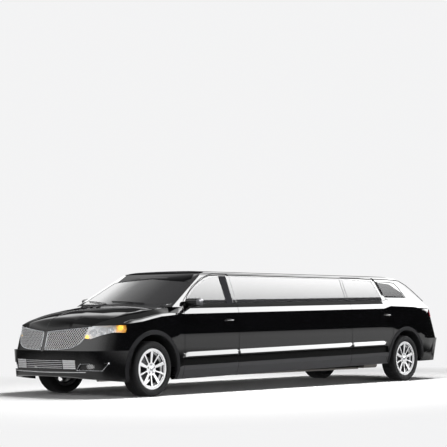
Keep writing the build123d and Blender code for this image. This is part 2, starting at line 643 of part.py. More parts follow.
COWL_TOP_Z = 1228
RAIL_Y = (400, 470)          # the chassis rails, which pass through the firewall
RAIL_Z = (400, 500)
rail_hole = box_between((front(450), RAIL_Y[0] - SEAT_GAP, RAIL_Z[0] - SEAT_GAP),
                        (front(350), RAIL_Y[1] + SEAT_GAP, RAIL_Z[1] + SEAT_GAP))
with BuildPart() as cowl:
    add(skin & cowl_space)
    add(both_sides(rail_hole), mode=Mode.SUBTRACT)
    add(box_between((front(700), -HALF_WIDTH, COWL_TOP_Z), (front(0), HALF_WIDTH, HEIGHT)),
        mode=Mode.SUBTRACT)
    hood_stop = box_between((front(200), 500, 1040), (front(60), 560, 1200))
    add(both_sides(hood_stop & Pos(0, 0, -SEAT_GAP) * body_inner))
    add(both_sides(box_between((front(200), 500, 1040), (front(160), 560, 1150))))
finish(cowl.part, "cowl")

front_door_space = front_door_prism(0)
rear_door_space = rear_door_prism(0)
side_outline = ((FRONT_DOOR_REAR_X, 150), (FRONT_DOOR_REAR_X, DOOR_TOP_Z), (TAIL_X - 100, DOOR_TOP_Z),
                (TAIL_X - 100, 150))
side_region = side_prism(side_outline, TAILGATE_HALF_WIDTH + SHUT_GAP, HALF_WIDTH + 50)
TAIL_LAMP_X = rear(880)
TAIL_LAMP_Z = (985, 1085)
LENS_DEPTH = 28
tail_lamp_space = box_between((TAIL_X - 100, -HALF_WIDTH, TAIL_LAMP_Z[0]),
                              (TAIL_LAMP_X, HALF_WIDTH, TAIL_LAMP_Z[1])) - shaped_body(LENS_DEPTH, 100)
with BuildPart() as side_builder:
    add(skin & side_region)
    add(rear_door_prism(SHUT_GAP), mode=Mode.SUBTRACT)
    add(tail_space, mode=Mode.SUBTRACT)
    add(bumper_region, mode=Mode.SUBTRACT)
    add(tail_lamp_space, mode=Mode.SUBTRACT)
    for window in (MIDDLE_WINDOW, QUARTER_WINDOW):
        add(side_prism(window, 500, HALF_WIDTH + 50), mode=Mode.SUBTRACT)
side_panels = both_sides(side_builder.part)
finish(side_panels, "side_panels")

with BuildPart() as side_windows:
    for window in (MIDDLE_WINDOW, QUARTER_WINDOW):
        add(both_sides(side_pane(window)))
finish(side_windows.part, "side_windows")

roof_outline = ((front(100), COWL_TOP_Z), (front(1000), COWL_TOP_Z), (FRONT_DOOR_REAR_X, DOOR_TOP_Z), (rear(900), DOOR_TOP_Z), (rear(900), HEIGHT + 50),
                (front(100), HEIGHT + 50))
header_outline = ((rear(-700), 1500), (rear(-700), HEIGHT + 50), (rear(900), HEIGHT + 50), (rear(900), 1500))
with BuildPart() as roof_region:
    add(side_prism(roof_outline, -HALF_WIDTH, HALF_WIDTH))
    add(side_prism(header_outline, -TAILGATE_HALF_WIDTH - SHUT_GAP, TAILGATE_HALF_WIDTH + SHUT_GAP))
with BuildPart() as roof:
    add(skin & roof_region.part)
    add(both_sides(fender_region), mode=Mode.SUBTRACT)
    add(both_sides(front_door_prism(SHUT_GAP)), mode=Mode.SUBTRACT)
    add(both_sides(rear_door_prism(SHUT_GAP)), mode=Mode.SUBTRACT)
    add(tail_space, mode=Mode.SUBTRACT)
    add(windshield_prism, mode=Mode.SUBTRACT)
finish(roof.part, "roof")

with BuildPart() as windshield:
    add(house_glass)
    add(front_prism(inset_outline(WINDSHIELD_EDGE, GLASS_GAP), front(1500), front(100)),
        mode=Mode.INTERSECT)
finish(windshield.part, "windshield")

with BuildPart() as tail_lamps:
    add(skin & tail_lamp_space)
    add(tail_space, mode=Mode.SUBTRACT)
finish(tail_lamps.part, "tail_lamps")

tailgate_space = box_between((TAIL_X - 100, -TAILGATE_HALF_WIDTH, TAILGATE_BOTTOM_Z),
                             (TAILGATE_FRONT_X - SHUT_GAP, TAILGATE_HALF_WIDTH, HEIGHT + 50))
hatch_prism = front_prism(HATCH_WINDOW, TAIL_X - 100, TAILGATE_FRONT_X - 60)
PLATE_PAD_X = (TAIL_X + 100, TAIL_X + 150)
PLATE_PAD_HALF_WIDTH = 175
PLATE_PAD_Z = (775, 915)
PLATE_HOLE_SPACING = 178
PLATE_HOLE_RADIUS = 3
PLATE_HOLE_Z = 885
with BuildPart() as tailgate:
    add(skin & tailgate_space)
    add(tail_lamp_space, mode=Mode.SUBTRACT)
    add(hatch_prism, mode=Mode.SUBTRACT)
    add(box_between((TAIL_X - 50, -PLATE_PAD_HALF_WIDTH, PLATE_PAD_Z[0]),
                    (PLATE_PAD_X[0], PLATE_PAD_HALF_WIDTH, PLATE_PAD_Z[1])), mode=Mode.SUBTRACT)
    add(box_between((PLATE_PAD_X[0], -PLATE_PAD_HALF_WIDTH, PLATE_PAD_Z[0]),
                    (PLATE_PAD_X[1], PLATE_PAD_HALF_WIDTH, PLATE_PAD_Z[1])))
    with BuildSketch(Plane(origin=(PLATE_PAD_X[0], 0, PLATE_HOLE_Z), x_dir=(0, 1, 0), z_dir=(1, 0, 0))):
        with GridLocations(PLATE_HOLE_SPACING, 1, 2, 1):
            Circle(PLATE_HOLE_RADIUS)
    extrude(amount=100, mode=Mode.SUBTRACT)
finish(tailgate.part, "tailgate")

with BuildPart() as tailgate_lamp:
    add(skin & tailgate_space)
    add(tail_lamp_space, mode=Mode.INTERSECT)
finish(tailgate_lamp.part, "tailgate_lamp")

with BuildPart() as tailgate_glass:
    add(house_glass)
    add(front_prism(inset_outline(HATCH_WINDOW, GLASS_GAP), TAIL_X - 100, TAILGATE_FRONT_X - 60),
        mode=Mode.INTERSECT)
finish(tailgate_glass.part, "tailgate_glass")

# ---------------------------------------------------------------- doors
DOORS = (
    ("front", front_door_space, FRONT_WINDOW, FRONT_DOOR_STEPS, FRONT_DOOR_REAR_X),
    ("rear", rear_door_space, REAR_WINDOW, REAR_DOOR_STEPS, REAR_DOOR_REAR_X),
)
for place, space, window, steps, rear_x in DOORS:
    left_door = cut_door(space, window, steps, rear_x)
    left_glass = side_pane(window)
    finish(left_door, f"door_{place}_left")
    finish(left_glass, f"door_glass_{place}_left")
    finish(right_hand(left_door), f"door_{place}_right")
    finish(right_hand(left_glass), f"door_glass_{place}_right")


# ================================================================ wheels, hubs and suspension
KINGPIN_Y = 745
KNUCKLE_Z = (240, 503)         # undersides of the upper arm and tops of the lower arm
HUB_FACE_Y = 786
SPINDLE_RADIUS = 30
SPINDLE_END_Y = 848
HUB_RADIUS = 75
HUB_BORE_DEPTH = 64
RIM_FACE = (66, 94)            # from the tyre's middle outwards
SPOKE_RING = (88, 232)
WIDE_SPOKE = (34, 50)          # widths at the hub and at the rim
NARROW_SPOKE = (16, 26)
WINDOW_BACK = 56               # the windows between the spokes are cut this far in
BEAD_Y = 97


def wheel_centre(axle_x):
    return Pos(axle_x, WHEEL_Y, TYRE_RADIUS)


def polar(radius, width, angle, side):
    """A corner of a rim's window: beside a spoke of this width, at this radius."""
    half = width / 2 * side
    along = sqrt(radius ** 2 - half ** 2)
    c, s = cos(radians(angle)), sin(radians(angle))
    return (along * c - half * s, along * s + half * c)


with BuildPart() as rim_builder:
    with BuildSketch():
        with BuildLine():
            outer = RIM_WIDTH / 2
            wall = RIM_BARREL_WALL
            Polyline((RIM_RADIUS, outer), (RIM_RADIUS, BEAD_Y), (RIM_SEAT_RADIUS, BEAD_Y), (RIM_SEAT_RADIUS, 60),
                     (232, 40), (232, -50), (RIM_SEAT_RADIUS, -75), (RIM_SEAT_RADIUS, -BEAD_Y),
                     (RIM_RADIUS, -BEAD_Y), (RIM_RADIUS, -outer), (RIM_SEAT_RADIUS - wall, -outer),
                     (RIM_SEAT_RADIUS - wall, -75), (232 - wall, -50), (232 - wall, 40),
                     (RIM_SEAT_RADIUS - wall, 60), (RIM_SEAT_RADIUS - wall, outer), close=True)
        make_face()
        with BuildLine():
            hub_back = HUB_FACE_Y + SEAT_GAP - WHEEL_Y
            bore = SPINDLE_RADIUS + RUNNING_GAP
            Polyline((0, hub_back + HUB_BORE_DEPTH), (bore, hub_back + HUB_BORE_DEPTH), (bore, hub_back), (HUB_RADIUS, hub_back), (HUB_RADIUS, RIM_FACE[0] - 6),
                     (RIM_SEAT_RADIUS - wall + 4, RIM_FACE[0] + 12), (RIM_SEAT_RADIUS - wall + 4, RIM_FACE[1] + 6),
                     (HUB_RADIUS, RIM_FACE[1] - 12), (0, RIM_FACE[1] - 12), close=True)
        make_face()
    revolve(axis=Axis.Y)
    with BuildSketch(Plane.XZ.offset(-RIM_WIDTH)):
        for number in range(SPOKE_PAIRS):
            turn = 360 / SPOKE_PAIRS
            angle = 90 + number * turn
            for side in (1, -1):
                narrow = angle + side * turn / 2
                with BuildLine():
                    Polyline(polar(SPOKE_RING[0], WIDE_SPOKE[0], angle, side),
                             polar(SPOKE_RING[1], WIDE_SPOKE[1], angle, side),
                             polar(SPOKE_RING[1], NARROW_SPOKE[1], narrow, -side),
                             polar(SPOKE_RING[0], NARROW_SPOKE[0], narrow, -side), close=True)
                make_face()
    extrude(amount=RIM_WIDTH - WINDOW_BACK, mode=Mode.SUBTRACT)
left_rim = rim_builder.part

SIDEWALL = ((RIM_SEAT_RADIUS + SEAT_GAP, BEAD_Y - SEAT_GAP), (RIM_RADIUS + 0.5, BEAD_Y - SEAT_GAP),
            (276, 113), (312, TYRE_WIDTH / 2), (348, 121), (TYRE_RADIUS, 97))
with BuildPart() as tyre_builder:
    with BuildSketch():
        with BuildLine():
            for side in (1, -1):
                points = [(r, side * y) for r, y in SIDEWALL]
                Polyline(*points[:3])
                ThreePointArc(*points[2:5])
                Line(points[4], points[5])
            Line((SIDEWALL[5][0], SIDEWALL[5][1]), (SIDEWALL[5][0], -SIDEWALL[5][1]))
            Line((SIDEWALL[0][0], SIDEWALL[0][1]), (SIDEWALL[0][0], -SIDEWALL[0][1]))
        make_face()
    revolve(axis=Axis.Y)
left_tyre = tyre_builder.part

for end, axle_x in (("front", FRONT_AXLE_X), ("rear", REAR_AXLE_X)):
    for piece, solid in (("rim", left_rim), ("tyre", left_tyre)):
        placed = wheel_centre(axle_x) * solid
        finish(placed, f"{piece}_{end}_left")
        finish(right_hand(placed), f"{piece}_{end}_right")

with BuildPart() as knuckle_builder:
    add(box_between((front(28), KINGPIN_Y - 23, KNUCKLE_Z[0] + SEAT_GAP),
                    (front(-28), KINGPIN_Y + 23, KNUCKLE_Z[1] - SEAT_GAP)))
    add(cross_tube(FRONT_AXLE_X, TYRE_RADIUS, 60, KINGPIN_Y - 15, HUB_FACE_Y))
    add(cross_tube(FRONT_AXLE_X, TYRE_RADIUS, SPINDLE_RADIUS, HUB_FACE_Y, SPINDLE_END_Y))
    add(box_between((front(130), KINGPIN_Y - 23, 300), (front(0), KINGPIN_Y, 330)))
finish(knuckle_builder.part, "knuckle_left")
finish(right_hand(knuckle_builder.part), "knuckle_right")

ARM_HALF_WIDTH = 32
LOWER_ARM_Z = (215, KNUCKLE_Z[0])
UPPER_ARM_Z = (KNUCKLE_Z[1], 520)
CROSSMEMBER_X = (front(120), front(-120))
CROSSMEMBER_Z = (225, 300)
with BuildPart() as subframe_side:
    add(box_between((CROSSMEMBER_X[0], 0, CROSSMEMBER_Z[0]), (CROSSMEMBER_X[1], 420, CROSSMEMBER_Z[1])))
    add(box_between((front(100), RAIL_Y[0], CROSSMEMBER_Z[0]), (front(-100), RAIL_Y[1], RAIL_Z[0])))
    for low_z, high_z in (LOWER_ARM_Z, UPPER_ARM_Z):
        add(box_between((front(ARM_HALF_WIDTH), RAIL_Y[0] - 20, low_z),
                        (front(-ARM_HALF_WIDTH), KINGPIN_Y + 28, high_z)))
    add(box_between((front(60), RAIL_Y[0] - 20, CROSSMEMBER_Z[0]),
                    (front(-60), RAIL_Y[0] - 2, UPPER_ARM_Z[1])))
with BuildPart() as front_subframe:
    add(both_sides(subframe_side.part))
finish(front_subframe.part, "front_subframe")

FLOOR_Z = (255, 300)             # over the front axle; it climbs with the sills
REAR_FLOOR_Z = (475, 520)
with BuildPart() as rear_subframe:
    add(cross_tube(REAR_AXLE_X, TYRE_RADIUS, 42, -640, 640))
    for side_low, side_high in ((640, HUB_FACE_Y), (-HUB_FACE_Y, -640)):
        add(cross_tube(REAR_AXLE_X, TYRE_RADIUS, 60, side_low, side_high))
    for side_low, side_high in ((HUB_FACE_Y, SPINDLE_END_Y), (-SPINDLE_END_Y, -HUB_FACE_Y)):
        add(cross_tube(REAR_AXLE_X, TYRE_RADIUS, SPINDLE_RADIUS, side_low, side_high))
    with Locations((REAR_AXLE_X, 0, TYRE_RADIUS)):
        Box(300, 240, 180)
    for side in (1, -1):
        with Locations((REAR_AXLE_X, side * 560, (TYRE_RADIUS + REAR_FLOOR_Z[0]) / 2)):
            Box(70, 60, REAR_FLOOR_Z[0] - TYRE_RADIUS)
finish(rear_subframe.part, "rear_subframe")

# ================================================================ floor, liners and mechanical masses
SILL_BEAM_Y = (770, DOOR_INNER_Y - SEAT_GAP)
SILL_BEAM_Z = (230, 400)
JACK_PAD_X = (front(950), rear(-950))
JACK_PAD_SIZE = 60
JACK_PAD_Z = SILL_Z + 10
LATCH_HALF_WIDTH = 60
FLOOR_FRONT_X = FIREWALL_X[0]
floor_outline = ((FLOOR_FRONT_X, climb(FLOOR_FRONT_X, FLOOR_Z[0])), (rear(-600), climb(rear(-600), FLOOR_Z[0])),
                 (rear(-600), climb(rear(-600), FLOOR_Z[1])), (FLOOR_FRONT_X, climb(FLOOR_FRONT_X, FLOOR_Z[1])))
kick_outline = ((rear(-600), climb(rear(-600), FLOOR_Z[0])), (rear(-600), climb(rear(-600), FLOOR_Z[1])),
                (rear(-500), REAR_FLOOR_Z[1]), (TAIL_X - 50, REAR_FLOOR_Z[1]), (TAIL_X - 50, REAR_FLOOR_Z[0]),
                (rear(-480), REAR_FLOOR_Z[0]))
beam_outline = ((front(490), climb(front(490), SILL_BEAM_Z[0])), (rear(-500), climb(rear(-500), SILL_BEAM_Z[0])),
                (rear(-500), climb(rear(-500), SILL_BEAM_Z[1])), (front(490), climb(front(490), SILL_BEAM_Z[1])))
with BuildPart() as rear_floor:
    add(side_prism(kick_outline, -REAR_ARCH_INNER_Y + 2 * LINER_WALL, REAR_ARCH_INNER_Y - 2 * LINER_WALL))
    add(box_between((TAIL_X - 50, -LATCH_HALF_WIDTH, REAR_FLOOR_Z[0]),
                    (rear(1000), LATCH_HALF_WIDTH, TAILGATE_BOTTOM_Z + 60)))
    add(Pos(SEAT_GAP, 0, 0) * body_inner, mode=Mode.INTERSECT)
BUMPER_BEAM_X = front(-905)
with BuildPart() as bumper_beam:
    add(box_between((BUMPER_BEAM_X, -RAIL_Y[1], RAIL_Z[0]), (NOSE_X, RAIL_Y[1], RAIL_Z[1])))
    add(Pos(-SEAT_GAP, 0, 0) * body_inner, mode=Mode.INTERSECT)
with BuildPart() as floor_pan:
    add(side_prism(floor_outline, -SILL_BEAM_Y[0], SILL_BEAM_Y[0]))
    add(rear_floor.part)
    add(bumper_beam.part)
    add(both_sides(side_prism(beam_outline, *SILL_BEAM_Y)))
    for pad_x in JACK_PAD_X:
        pad = box_between((pad_x - JACK_PAD_SIZE / 2, SILL_BEAM_Y[0], climb(pad_x, JACK_PAD_Z)),
                          (pad_x + JACK_PAD_SIZE / 2, SILL_BEAM_Y[0] + JACK_PAD_SIZE,
                           climb(pad_x, SILL_BEAM_Z[1])))
        add(both_sides(pad))
    add(both_sides(box_between((front(500), RAIL_Y[0], RAIL_Z[0]), (BUMPER_BEAM_X, RAIL_Y[1], RAIL_Z[1]))))
    add(both_sides(box_between((front(500), RAIL_Y[0], climb(front(500), FLOOR_Z[0])),
                               (FLOOR_FRONT_X, RAIL_Y[1], RAIL_Z[1]))))
finish(floor_pan.part, "floor_pan")

LINER_BOTTOM_Z = 380
AXLE_HOLE_RADIUS = 75
LINERS = ((FRONT_AXLE_X, FRONT_ARCH_INNER_Y, 545), (REAR_AXLE_X, REAR_ARCH_INNER_Y, LINER_BOTTOM_Z))
with BuildPart() as liner_builder:
    for axle_x, inner_y, wall_bottom in LINERS:
        low, high = inner_y + LINER_WALL, HALF_WIDTH - 20
        shell = arch_cylinder(axle_x, ARCH_RADIUS, inner_y, high)
        shell = shell - arch_cylinder(axle_x, ARCH_RADIUS - LINER_WALL, low, high + 10)
        shell = shell - arch_cylinder(axle_x, AXLE_HOLE_RADIUS, inner_y - 10, low + 10)
        shell = shell - box_between((axle_x - 600, inner_y - 10, -200), (axle_x + 600, low, wall_bottom))
        add(shell - box_between((axle_x - 600, 0, -200), (axle_x + 600, HALF_WIDTH, LINER_BOTTOM_Z)))
finish(both_sides(liner_builder.part), "wheel_liners")

ENGINE_HALF_WIDTH = 280
with BuildPart() as engine:
    add(box_between((front(330), -ENGINE_HALF_WIDTH, CROSSMEMBER_Z[1] + SEAT_GAP),
                    (front(-430), ENGINE_HALF_WIDTH, 880)))
finish(engine.part, "engine")

with BuildPart() as radiator:
    add(box_between((BUMPER_BEAM_X - 65, -330, RAIL_Z[0] + 2), (BUMPER_BEAM_X - SEAT_GAP, 330, 760)))
finish(radiator.part, "radiator")

PIPE_Y = -330
PIPE_Z = 180
MUFFLER = ((rear(800), PIPE_Y - 150, 170), (rear(420), PIPE_Y + 150, 330))
with BuildPart() as exhaust:
    with BuildSketch(Plane(origin=(rear(430), PIPE_Y, PIPE_Z), z_dir=(1, 0, 0))):
        Circle(26)
    extrude(amount=WHEELBASE + 200)
    add(box_between(*MUFFLER))
    fillet(exhaust.edges().filter_by(Axis.X).filter_by_position(Axis.X, rear(700), rear(500)), 50)
    for hanger_x in (rear(740), rear(480)):
        add(box_between((hanger_x - 15, PIPE_Y - 15, 300),
                        (hanger_x + 15, PIPE_Y + 15, REAR_FLOOR_Z[0] - SEAT_GAP)))
    with BuildSketch(Plane(origin=(rear(1190), PIPE_Y, PIPE_Z + 75), z_dir=(1, 0, 0))):
        Circle(30)
    extrude(amount=400)
finish(exhaust.part, "exhaust")

# ================================================================ cabin
DASH_X = (front(720), FLOOR_FRONT_X - SEAT_GAP)
STEERING_Y = 430
dash_outline = ((DASH_X[1], 760), (DASH_X[1], 1150), (front(600), 1165), (front(690), 1120), (DASH_X[0], 1060),
                (DASH_X[0], 900), (front(640), 760))
with BuildPart() as dashboard:
    add(side_prism(dash_outline, -830, 830))
    binnacle = ((front(560), 1100), (front(560), 1195), (front(700), 1185), (DASH_X[0], 1130), (DASH_X[0], 1060))
    add(side_prism(binnacle, STEERING_Y - 200, STEERING_Y + 200))
finish(dashboard.part, "dashboard")

WHEEL_HUB = (front(880), STEERING_Y, 1030)
COLUMN_TILT = 0.3
column_plane = Plane(origin=WHEEL_HUB, x_dir=(0, 1, 0), z_dir=(1, 0, -COLUMN_TILT))
with BuildPart() as steering_wheel:
    with BuildSketch(column_plane):
        Circle(26)
    extrude(amount=300)
    with BuildSketch(column_plane.offset(-12)):
        Circle(62)
        for turn in (0, 90, 180):
            with Locations(Location((0, 0, 0), (0, 0, turn))):
                with Locations((90, 0)):
                    Rectangle(180, 34)
    extrude(amount=22)
    with Locations(column_plane.location):
        Torus(185, 15)
    add(box_between((DASH_X[0] - SEAT_GAP, 0, 700), (front(0), HALF_WIDTH, 1400)), mode=Mode.SUBTRACT)
finish(steering_wheel.part, "steering_wheel")

FLOOR_TOP = FLOOR_Z[1] + SEAT_GAP
SILL_TOP = SILL_BEAM_Z[1] + 2
CABIN_SIDE_Y = 840
SEAT_Y = (180, 690)


def seat_outline(front_x, rear_x, cushion_z, back_z):
    """The side view of a seat that stands on the climbing floor."""
    return ((front_x, climb(front_x, FLOOR_TOP)), (front_x - 30, cushion_z - 110), (front_x + 20, cushion_z - 60),
            (front_x, cushion_z), (rear_x + 190, cushion_z - 25), (rear_x + 60, back_z),
            (rear_x - 40, back_z), (rear_x + 60, climb(rear_x + 60, FLOOR_TOP)))


with BuildPart() as seat_builder:
    with BuildSketch(Plane.XZ.offset(-SEAT_Y[1])):
        with BuildLine():
            Polyline(*seat_outline(front(1110), front(1720), 640, 1250), close=True)
        make_face()
    extrude(amount=SEAT_Y[1] - SEAT_Y[0])
    middle_y = (SEAT_Y[0] + SEAT_Y[1]) / 2
    add(box_between((front(1740), middle_y - 60, 1240), (front(1700), middle_y + 60, 1290)))
    add(box_between((front(1760), middle_y - 140, 1275), (front(1670), middle_y + 140, 1410)))
with BuildPart() as front_seats:
    add(both_sides(seat_builder.part))
finish(front_seats.part, "front_seats")

PARTITION_X = (front(1925), front(1900))
partition_floor = climb(PARTITION_X[0], FLOOR_TOP)
with BuildPart() as partition:
    beam_y, beam_top = SILL_BEAM_Y[0] - 2, climb(PARTITION_X[0], SILL_TOP)
    outline = ((-beam_y, partition_floor), (-beam_y, beam_top), (-CABIN_SIDE_Y, beam_top), (-CABIN_SIDE_Y, 1180),
               (-705, 1560), (705, 1560), (CABIN_SIDE_Y, 1180), (CABIN_SIDE_Y, beam_top), (beam_y, beam_top),
               (beam_y, partition_floor))
    add(front_prism(outline, *PARTITION_X))
    add(front_prism(((-690, 1220), (-610, 1500), (610, 1500), (690, 1220)), front(2000), front(1800)),
        mode=Mode.SUBTRACT)
finish(partition.part, "partition")

BENCH_PROFILE = ((-380, FLOOR_TOP), (-420, 560), (-380, 620), (-390, 690), (-690, 665), (-750, 1090),
                 (-CABIN_SIDE_Y, 1090), (-CABIN_SIDE_Y, SILL_TOP), (2 - SILL_BEAM_Y[0], SILL_TOP),
                 (2 - SILL_BEAM_Y[0], FLOOR_TOP))
BENCH_X = (front(2250), front(4300))
BAR_PROFILE = ((570, FLOOR_TOP), (570, 1010), (550, 1010), (550, 1040), (CABIN_SIDE_Y, 1040),
               (CABIN_SIDE_Y, SILL_TOP), (SILL_BEAM_Y[0] - 2, SILL_TOP), (SILL_BEAM_Y[0] - 2, FLOOR_TOP))
with BuildPart() as lounge_seats:
    add(climbing_strip(BENCH_PROFILE, *BENCH_X))
    add(side_prism(seat_outline(rear(-1190), rear(-664), 760, 1290), -750, 750))
finish(lounge_seats.part, "lounge_seats")

with BuildPart() as bar_cabinet:
    add(climbing_strip(BAR_PROFILE, *BENCH_X))
finish(bar_cabinet.part, "bar_cabinet")

# ================================================================ mirrors on the front doors
MIRROR_X = (front(765), front(612))
MIRROR_Y = (925, 1105)
MIRROR_Z = (1190, 1318)
with BuildPart() as mirror_builder:
    add(box_between((MIRROR_X[0], MIRROR_Y[0], MIRROR_Z[0]), (MIRROR_X[1], MIRROR_Y[1], MIRROR_Z[1])))
    fillet(mirror_builder.edges().filter_by(Axis.Y), 45)
    fillet(mirror_builder.faces().sort_by(Axis.Y)[-1].edges(), 25)
    add(box_between((front(725), 880, 1150), (front(650), 985, 1215)))
    add(body_outer, mode=Mode.SUBTRACT)
    add(house_outer, mode=Mode.SUBTRACT)
finish(mirror_builder.part, "mirror_left")
finish(right_hand(mirror_builder.part), "mirror_right")
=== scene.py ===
import math

import bmesh
import bpy
import numpy as np
from bpy.props import FloatProperty, FloatVectorProperty, IntProperty, PointerProperty
from mathutils import Matrix, Vector
from mathutils.bvhtree import BVHTree


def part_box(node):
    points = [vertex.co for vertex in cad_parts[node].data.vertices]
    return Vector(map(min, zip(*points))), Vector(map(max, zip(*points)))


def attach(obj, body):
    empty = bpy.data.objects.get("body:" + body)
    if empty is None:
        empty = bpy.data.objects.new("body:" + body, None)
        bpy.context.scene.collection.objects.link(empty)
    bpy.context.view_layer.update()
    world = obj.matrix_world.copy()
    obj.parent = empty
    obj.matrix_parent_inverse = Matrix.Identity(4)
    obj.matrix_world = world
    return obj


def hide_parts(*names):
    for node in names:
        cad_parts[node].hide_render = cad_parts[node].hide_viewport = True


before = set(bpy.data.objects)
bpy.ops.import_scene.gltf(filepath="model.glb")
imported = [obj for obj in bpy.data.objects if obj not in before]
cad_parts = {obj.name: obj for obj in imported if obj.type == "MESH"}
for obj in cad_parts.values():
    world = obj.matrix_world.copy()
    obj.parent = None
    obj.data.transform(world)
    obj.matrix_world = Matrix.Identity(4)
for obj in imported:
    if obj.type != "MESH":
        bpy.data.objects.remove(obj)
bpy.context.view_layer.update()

bl_info = {
    "name": "Stretch limousine",
    "version": (1, 0, 0),
    "blender": (4, 5, 0),
    "location": "3D View > Sidebar > Limousine",
    "description": "Builds the smooth panels, glass, lamps, trim, wheels and cabin of a stretch limousine",
    "category": "Add Mesh",
}

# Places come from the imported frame, in metres: X forward, Y left, Z up.
FRONT_X = sum(c[0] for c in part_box("tyre_front_left")) / 2
REAR_X = sum(c[0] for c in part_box("tyre_rear_left")) / 2
AXLE_Z = sum(c[2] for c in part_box("tyre_front_left")) / 2
WHEEL_Y = sum(c[1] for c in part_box("rim_front_left")) / 2
RISE = 0.0165
SIDES = (("left", 1), ("right", -1))
ENDS = (("front", FRONT_X), ("rear", REAR_X))


def front(behind):
    """X of a place so far behind the front axle."""
    return FRONT_X - behind


def rear(behind):
    """X of a place so far behind the rear axle."""
    return REAR_X - behind


# ---------------------------------------------------------------- shared mesh helpers
def link(obj):
    """Put an object into the scene."""
    bpy.context.scene.collection.objects.link(obj)
    return obj


def mesh_object(name, verts, faces, material, smooth=True):
    """A new object from vertices and faces."""
    mesh = bpy.data.meshes.new(name)
    mesh.from_pydata([tuple(v) for v in verts], [], [tuple(f) for f in faces])
    mesh.update()
    if smooth:
        mesh.shade_smooth()
    obj = link(bpy.data.objects.new(name, mesh))
    mesh.materials.append(material)
    return obj


def from_bmesh(name, bm, materials, angle=None):
    """A new object from a bmesh, smooth up to an angle in degrees."""
    mesh = bpy.data.meshes.new(name)
    bm.normal_update()
    if angle is not None:
        limit = math.radians(angle)
        for face in bm.faces:
            face.smooth = True
        for edge in bm.edges:
            edge.smooth = len(edge.link_faces) == 2 and edge.calc_face_angle(0) < limit
    bm.to_mesh(mesh)
    bm.free()
    obj = link(bpy.data.objects.new(name, mesh))
    for material in materials if isinstance(materials, (list, tuple)) else (materials,):
        mesh.materials.append(material)
    return obj


def skinned(bm, rows):
    """Faces between each row of vertices and the next."""
    for a, b in zip(rows, rows[1:]):
        for k in range(len(a) - 1):
            bm.faces.new((a[k], a[k + 1], b[k + 1], b[k]))


def turned(face, direction):
    """Let a face look a certain way."""
    face.normal_update()
    if face.normal.dot(direction) < 0:
        face.normal_flip()


def sheet_facing(bm, direction):
    """Let a whole open sheet look a certain way."""
    bmesh.ops.recalc_face_normals(bm, faces=bm.faces[:])
    if sum(f.normal.dot(direction) * f.calc_area() for f in bm.faces) < 0:
        bmesh.ops.reverse_faces(bm, faces=bm.faces[:])


def block(bm, low, high):
    """A cube stretched between its lowest and its highest corner."""
    size = [b - a for a, b in zip(low, high)]
    middle = [(a + b) / 2 for a, b in zip(low, high)]
    bmesh.ops.create_cube(bm, size=1, matrix=Matrix.Translation(middle) @ Matrix.Diagonal((*size, 1)))


def bevelled(bm, offset):
    """Round every edge in three steps."""
    bmesh.ops.bevel(bm, geom=bm.edges[:], offset=offset, segments=3, profile=0.5, affect="EDGES")


def split_at(bm, place, normal):
    """Cut a mesh along a plane without taking anything away."""
    bmesh.ops.bisect_plane(bm, geom=bm.verts[:] + bm.edges[:] + bm.faces[:], dist=1e-6, plane_co=place,
                           plane_no=normal)


def merged(node):
    """A merged bmesh copy of a CAD node."""
    bm = bmesh.new()
    bm.from_mesh(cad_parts[node].data)
    bmesh.ops.remove_doubles(bm, verts=bm.verts, dist=1e-5)
    bmesh.ops.dissolve_degenerate(bm, dist=1e-6, edges=bm.edges)
    return bm


def joined(name, parts):
    """One object out of several, keeping their materials."""
    with bpy.context.temp_override(active_object=parts[0], selected_editable_objects=parts):
        bpy.ops.object.join()
    parts[0].name = name
    parts[0].data.name = name
    return parts[0]


def baked(obj, name):
    """The plain mesh that a curve or a modifier gives, in place of its object."""
    bpy.context.view_layer.update()
    mesh = bpy.data.meshes.new_from_object(obj.evaluated_get(bpy.context.evaluated_depsgraph_get()))
    mesh.name = name
    bpy.data.objects.remove(obj)
    return link(bpy.data.objects.new(name, mesh))


def tube(name, points, radius, material, closed=False, sides=8):
    """A round bar along points."""
    curve = bpy.data.curves.new(name, "CURVE")
    curve.dimensions = "3D"
    curve.bevel_depth = radius
    curve.bevel_resolution = max(0, sides // 2 - 2)
    curve.use_fill_caps = not closed
    spline = curve.splines.new("POLY")
    spline.points.add(len(points) - 1)
    for point, place in zip(spline.points, points):
        point.co = (*place, 1)
    spline.use_cyclic_u = closed
    bar = baked(link(bpy.data.objects.new(name, curve)), name)
    bar.data.materials.clear()
    bar.data.materials.append(material)
    bar.data.shade_smooth()
    return bar


def rounded_box(name, low, high, radius, material):
    """A box with rounded edges, from its lowest to its highest corner."""
    bm = bmesh.new()
    block(bm, low, high)
    bevelled(bm, radius)
    return from_bmesh(name, bm, material, 40)


def revolved(name, profile, centre, axis, material, steps=64, angle=35):
    """A ring or disc from a (radius, along) profile about an axis through a centre."""
    axis = Vector(axis).normalized()
    across = axis.orthogonal().normalized()
    other = axis.cross(across)
    bm = bmesh.new()
    rings = []
    for radius, along in profile:
        if radius < 1e-6:
            rings.append([bm.verts.new(Vector(centre) + axis * along)] * steps)
            continue
        ring = []
        for k in range(steps):
            turn = 2 * math.pi * k / steps
            place = across * math.cos(turn) * radius + other * math.sin(turn) * radius
            ring.append(bm.verts.new(Vector(centre) + place + axis * along))
        rings.append(ring)
    for a, b in zip(rings, rings[1:]):
        for k in range(steps):
            corners = []
            for vert in (a[k], a[(k + 1) % steps], b[(k + 1) % steps], b[k]):
                if vert not in corners:
                    corners.append(vert)
            if len(corners) > 2:
                bm.faces.new(corners)
    bmesh.ops.recalc_face_normals(bm, faces=bm.faces[:])
    return from_bmesh(name, bm, material, angle)


def ride(obj, body, *nodes):
    """Tie a piece to a body, and let it stand for CAD nodes."""
    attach(obj, body)
    if nodes:
        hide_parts(*nodes)
    return obj


_trees = {}


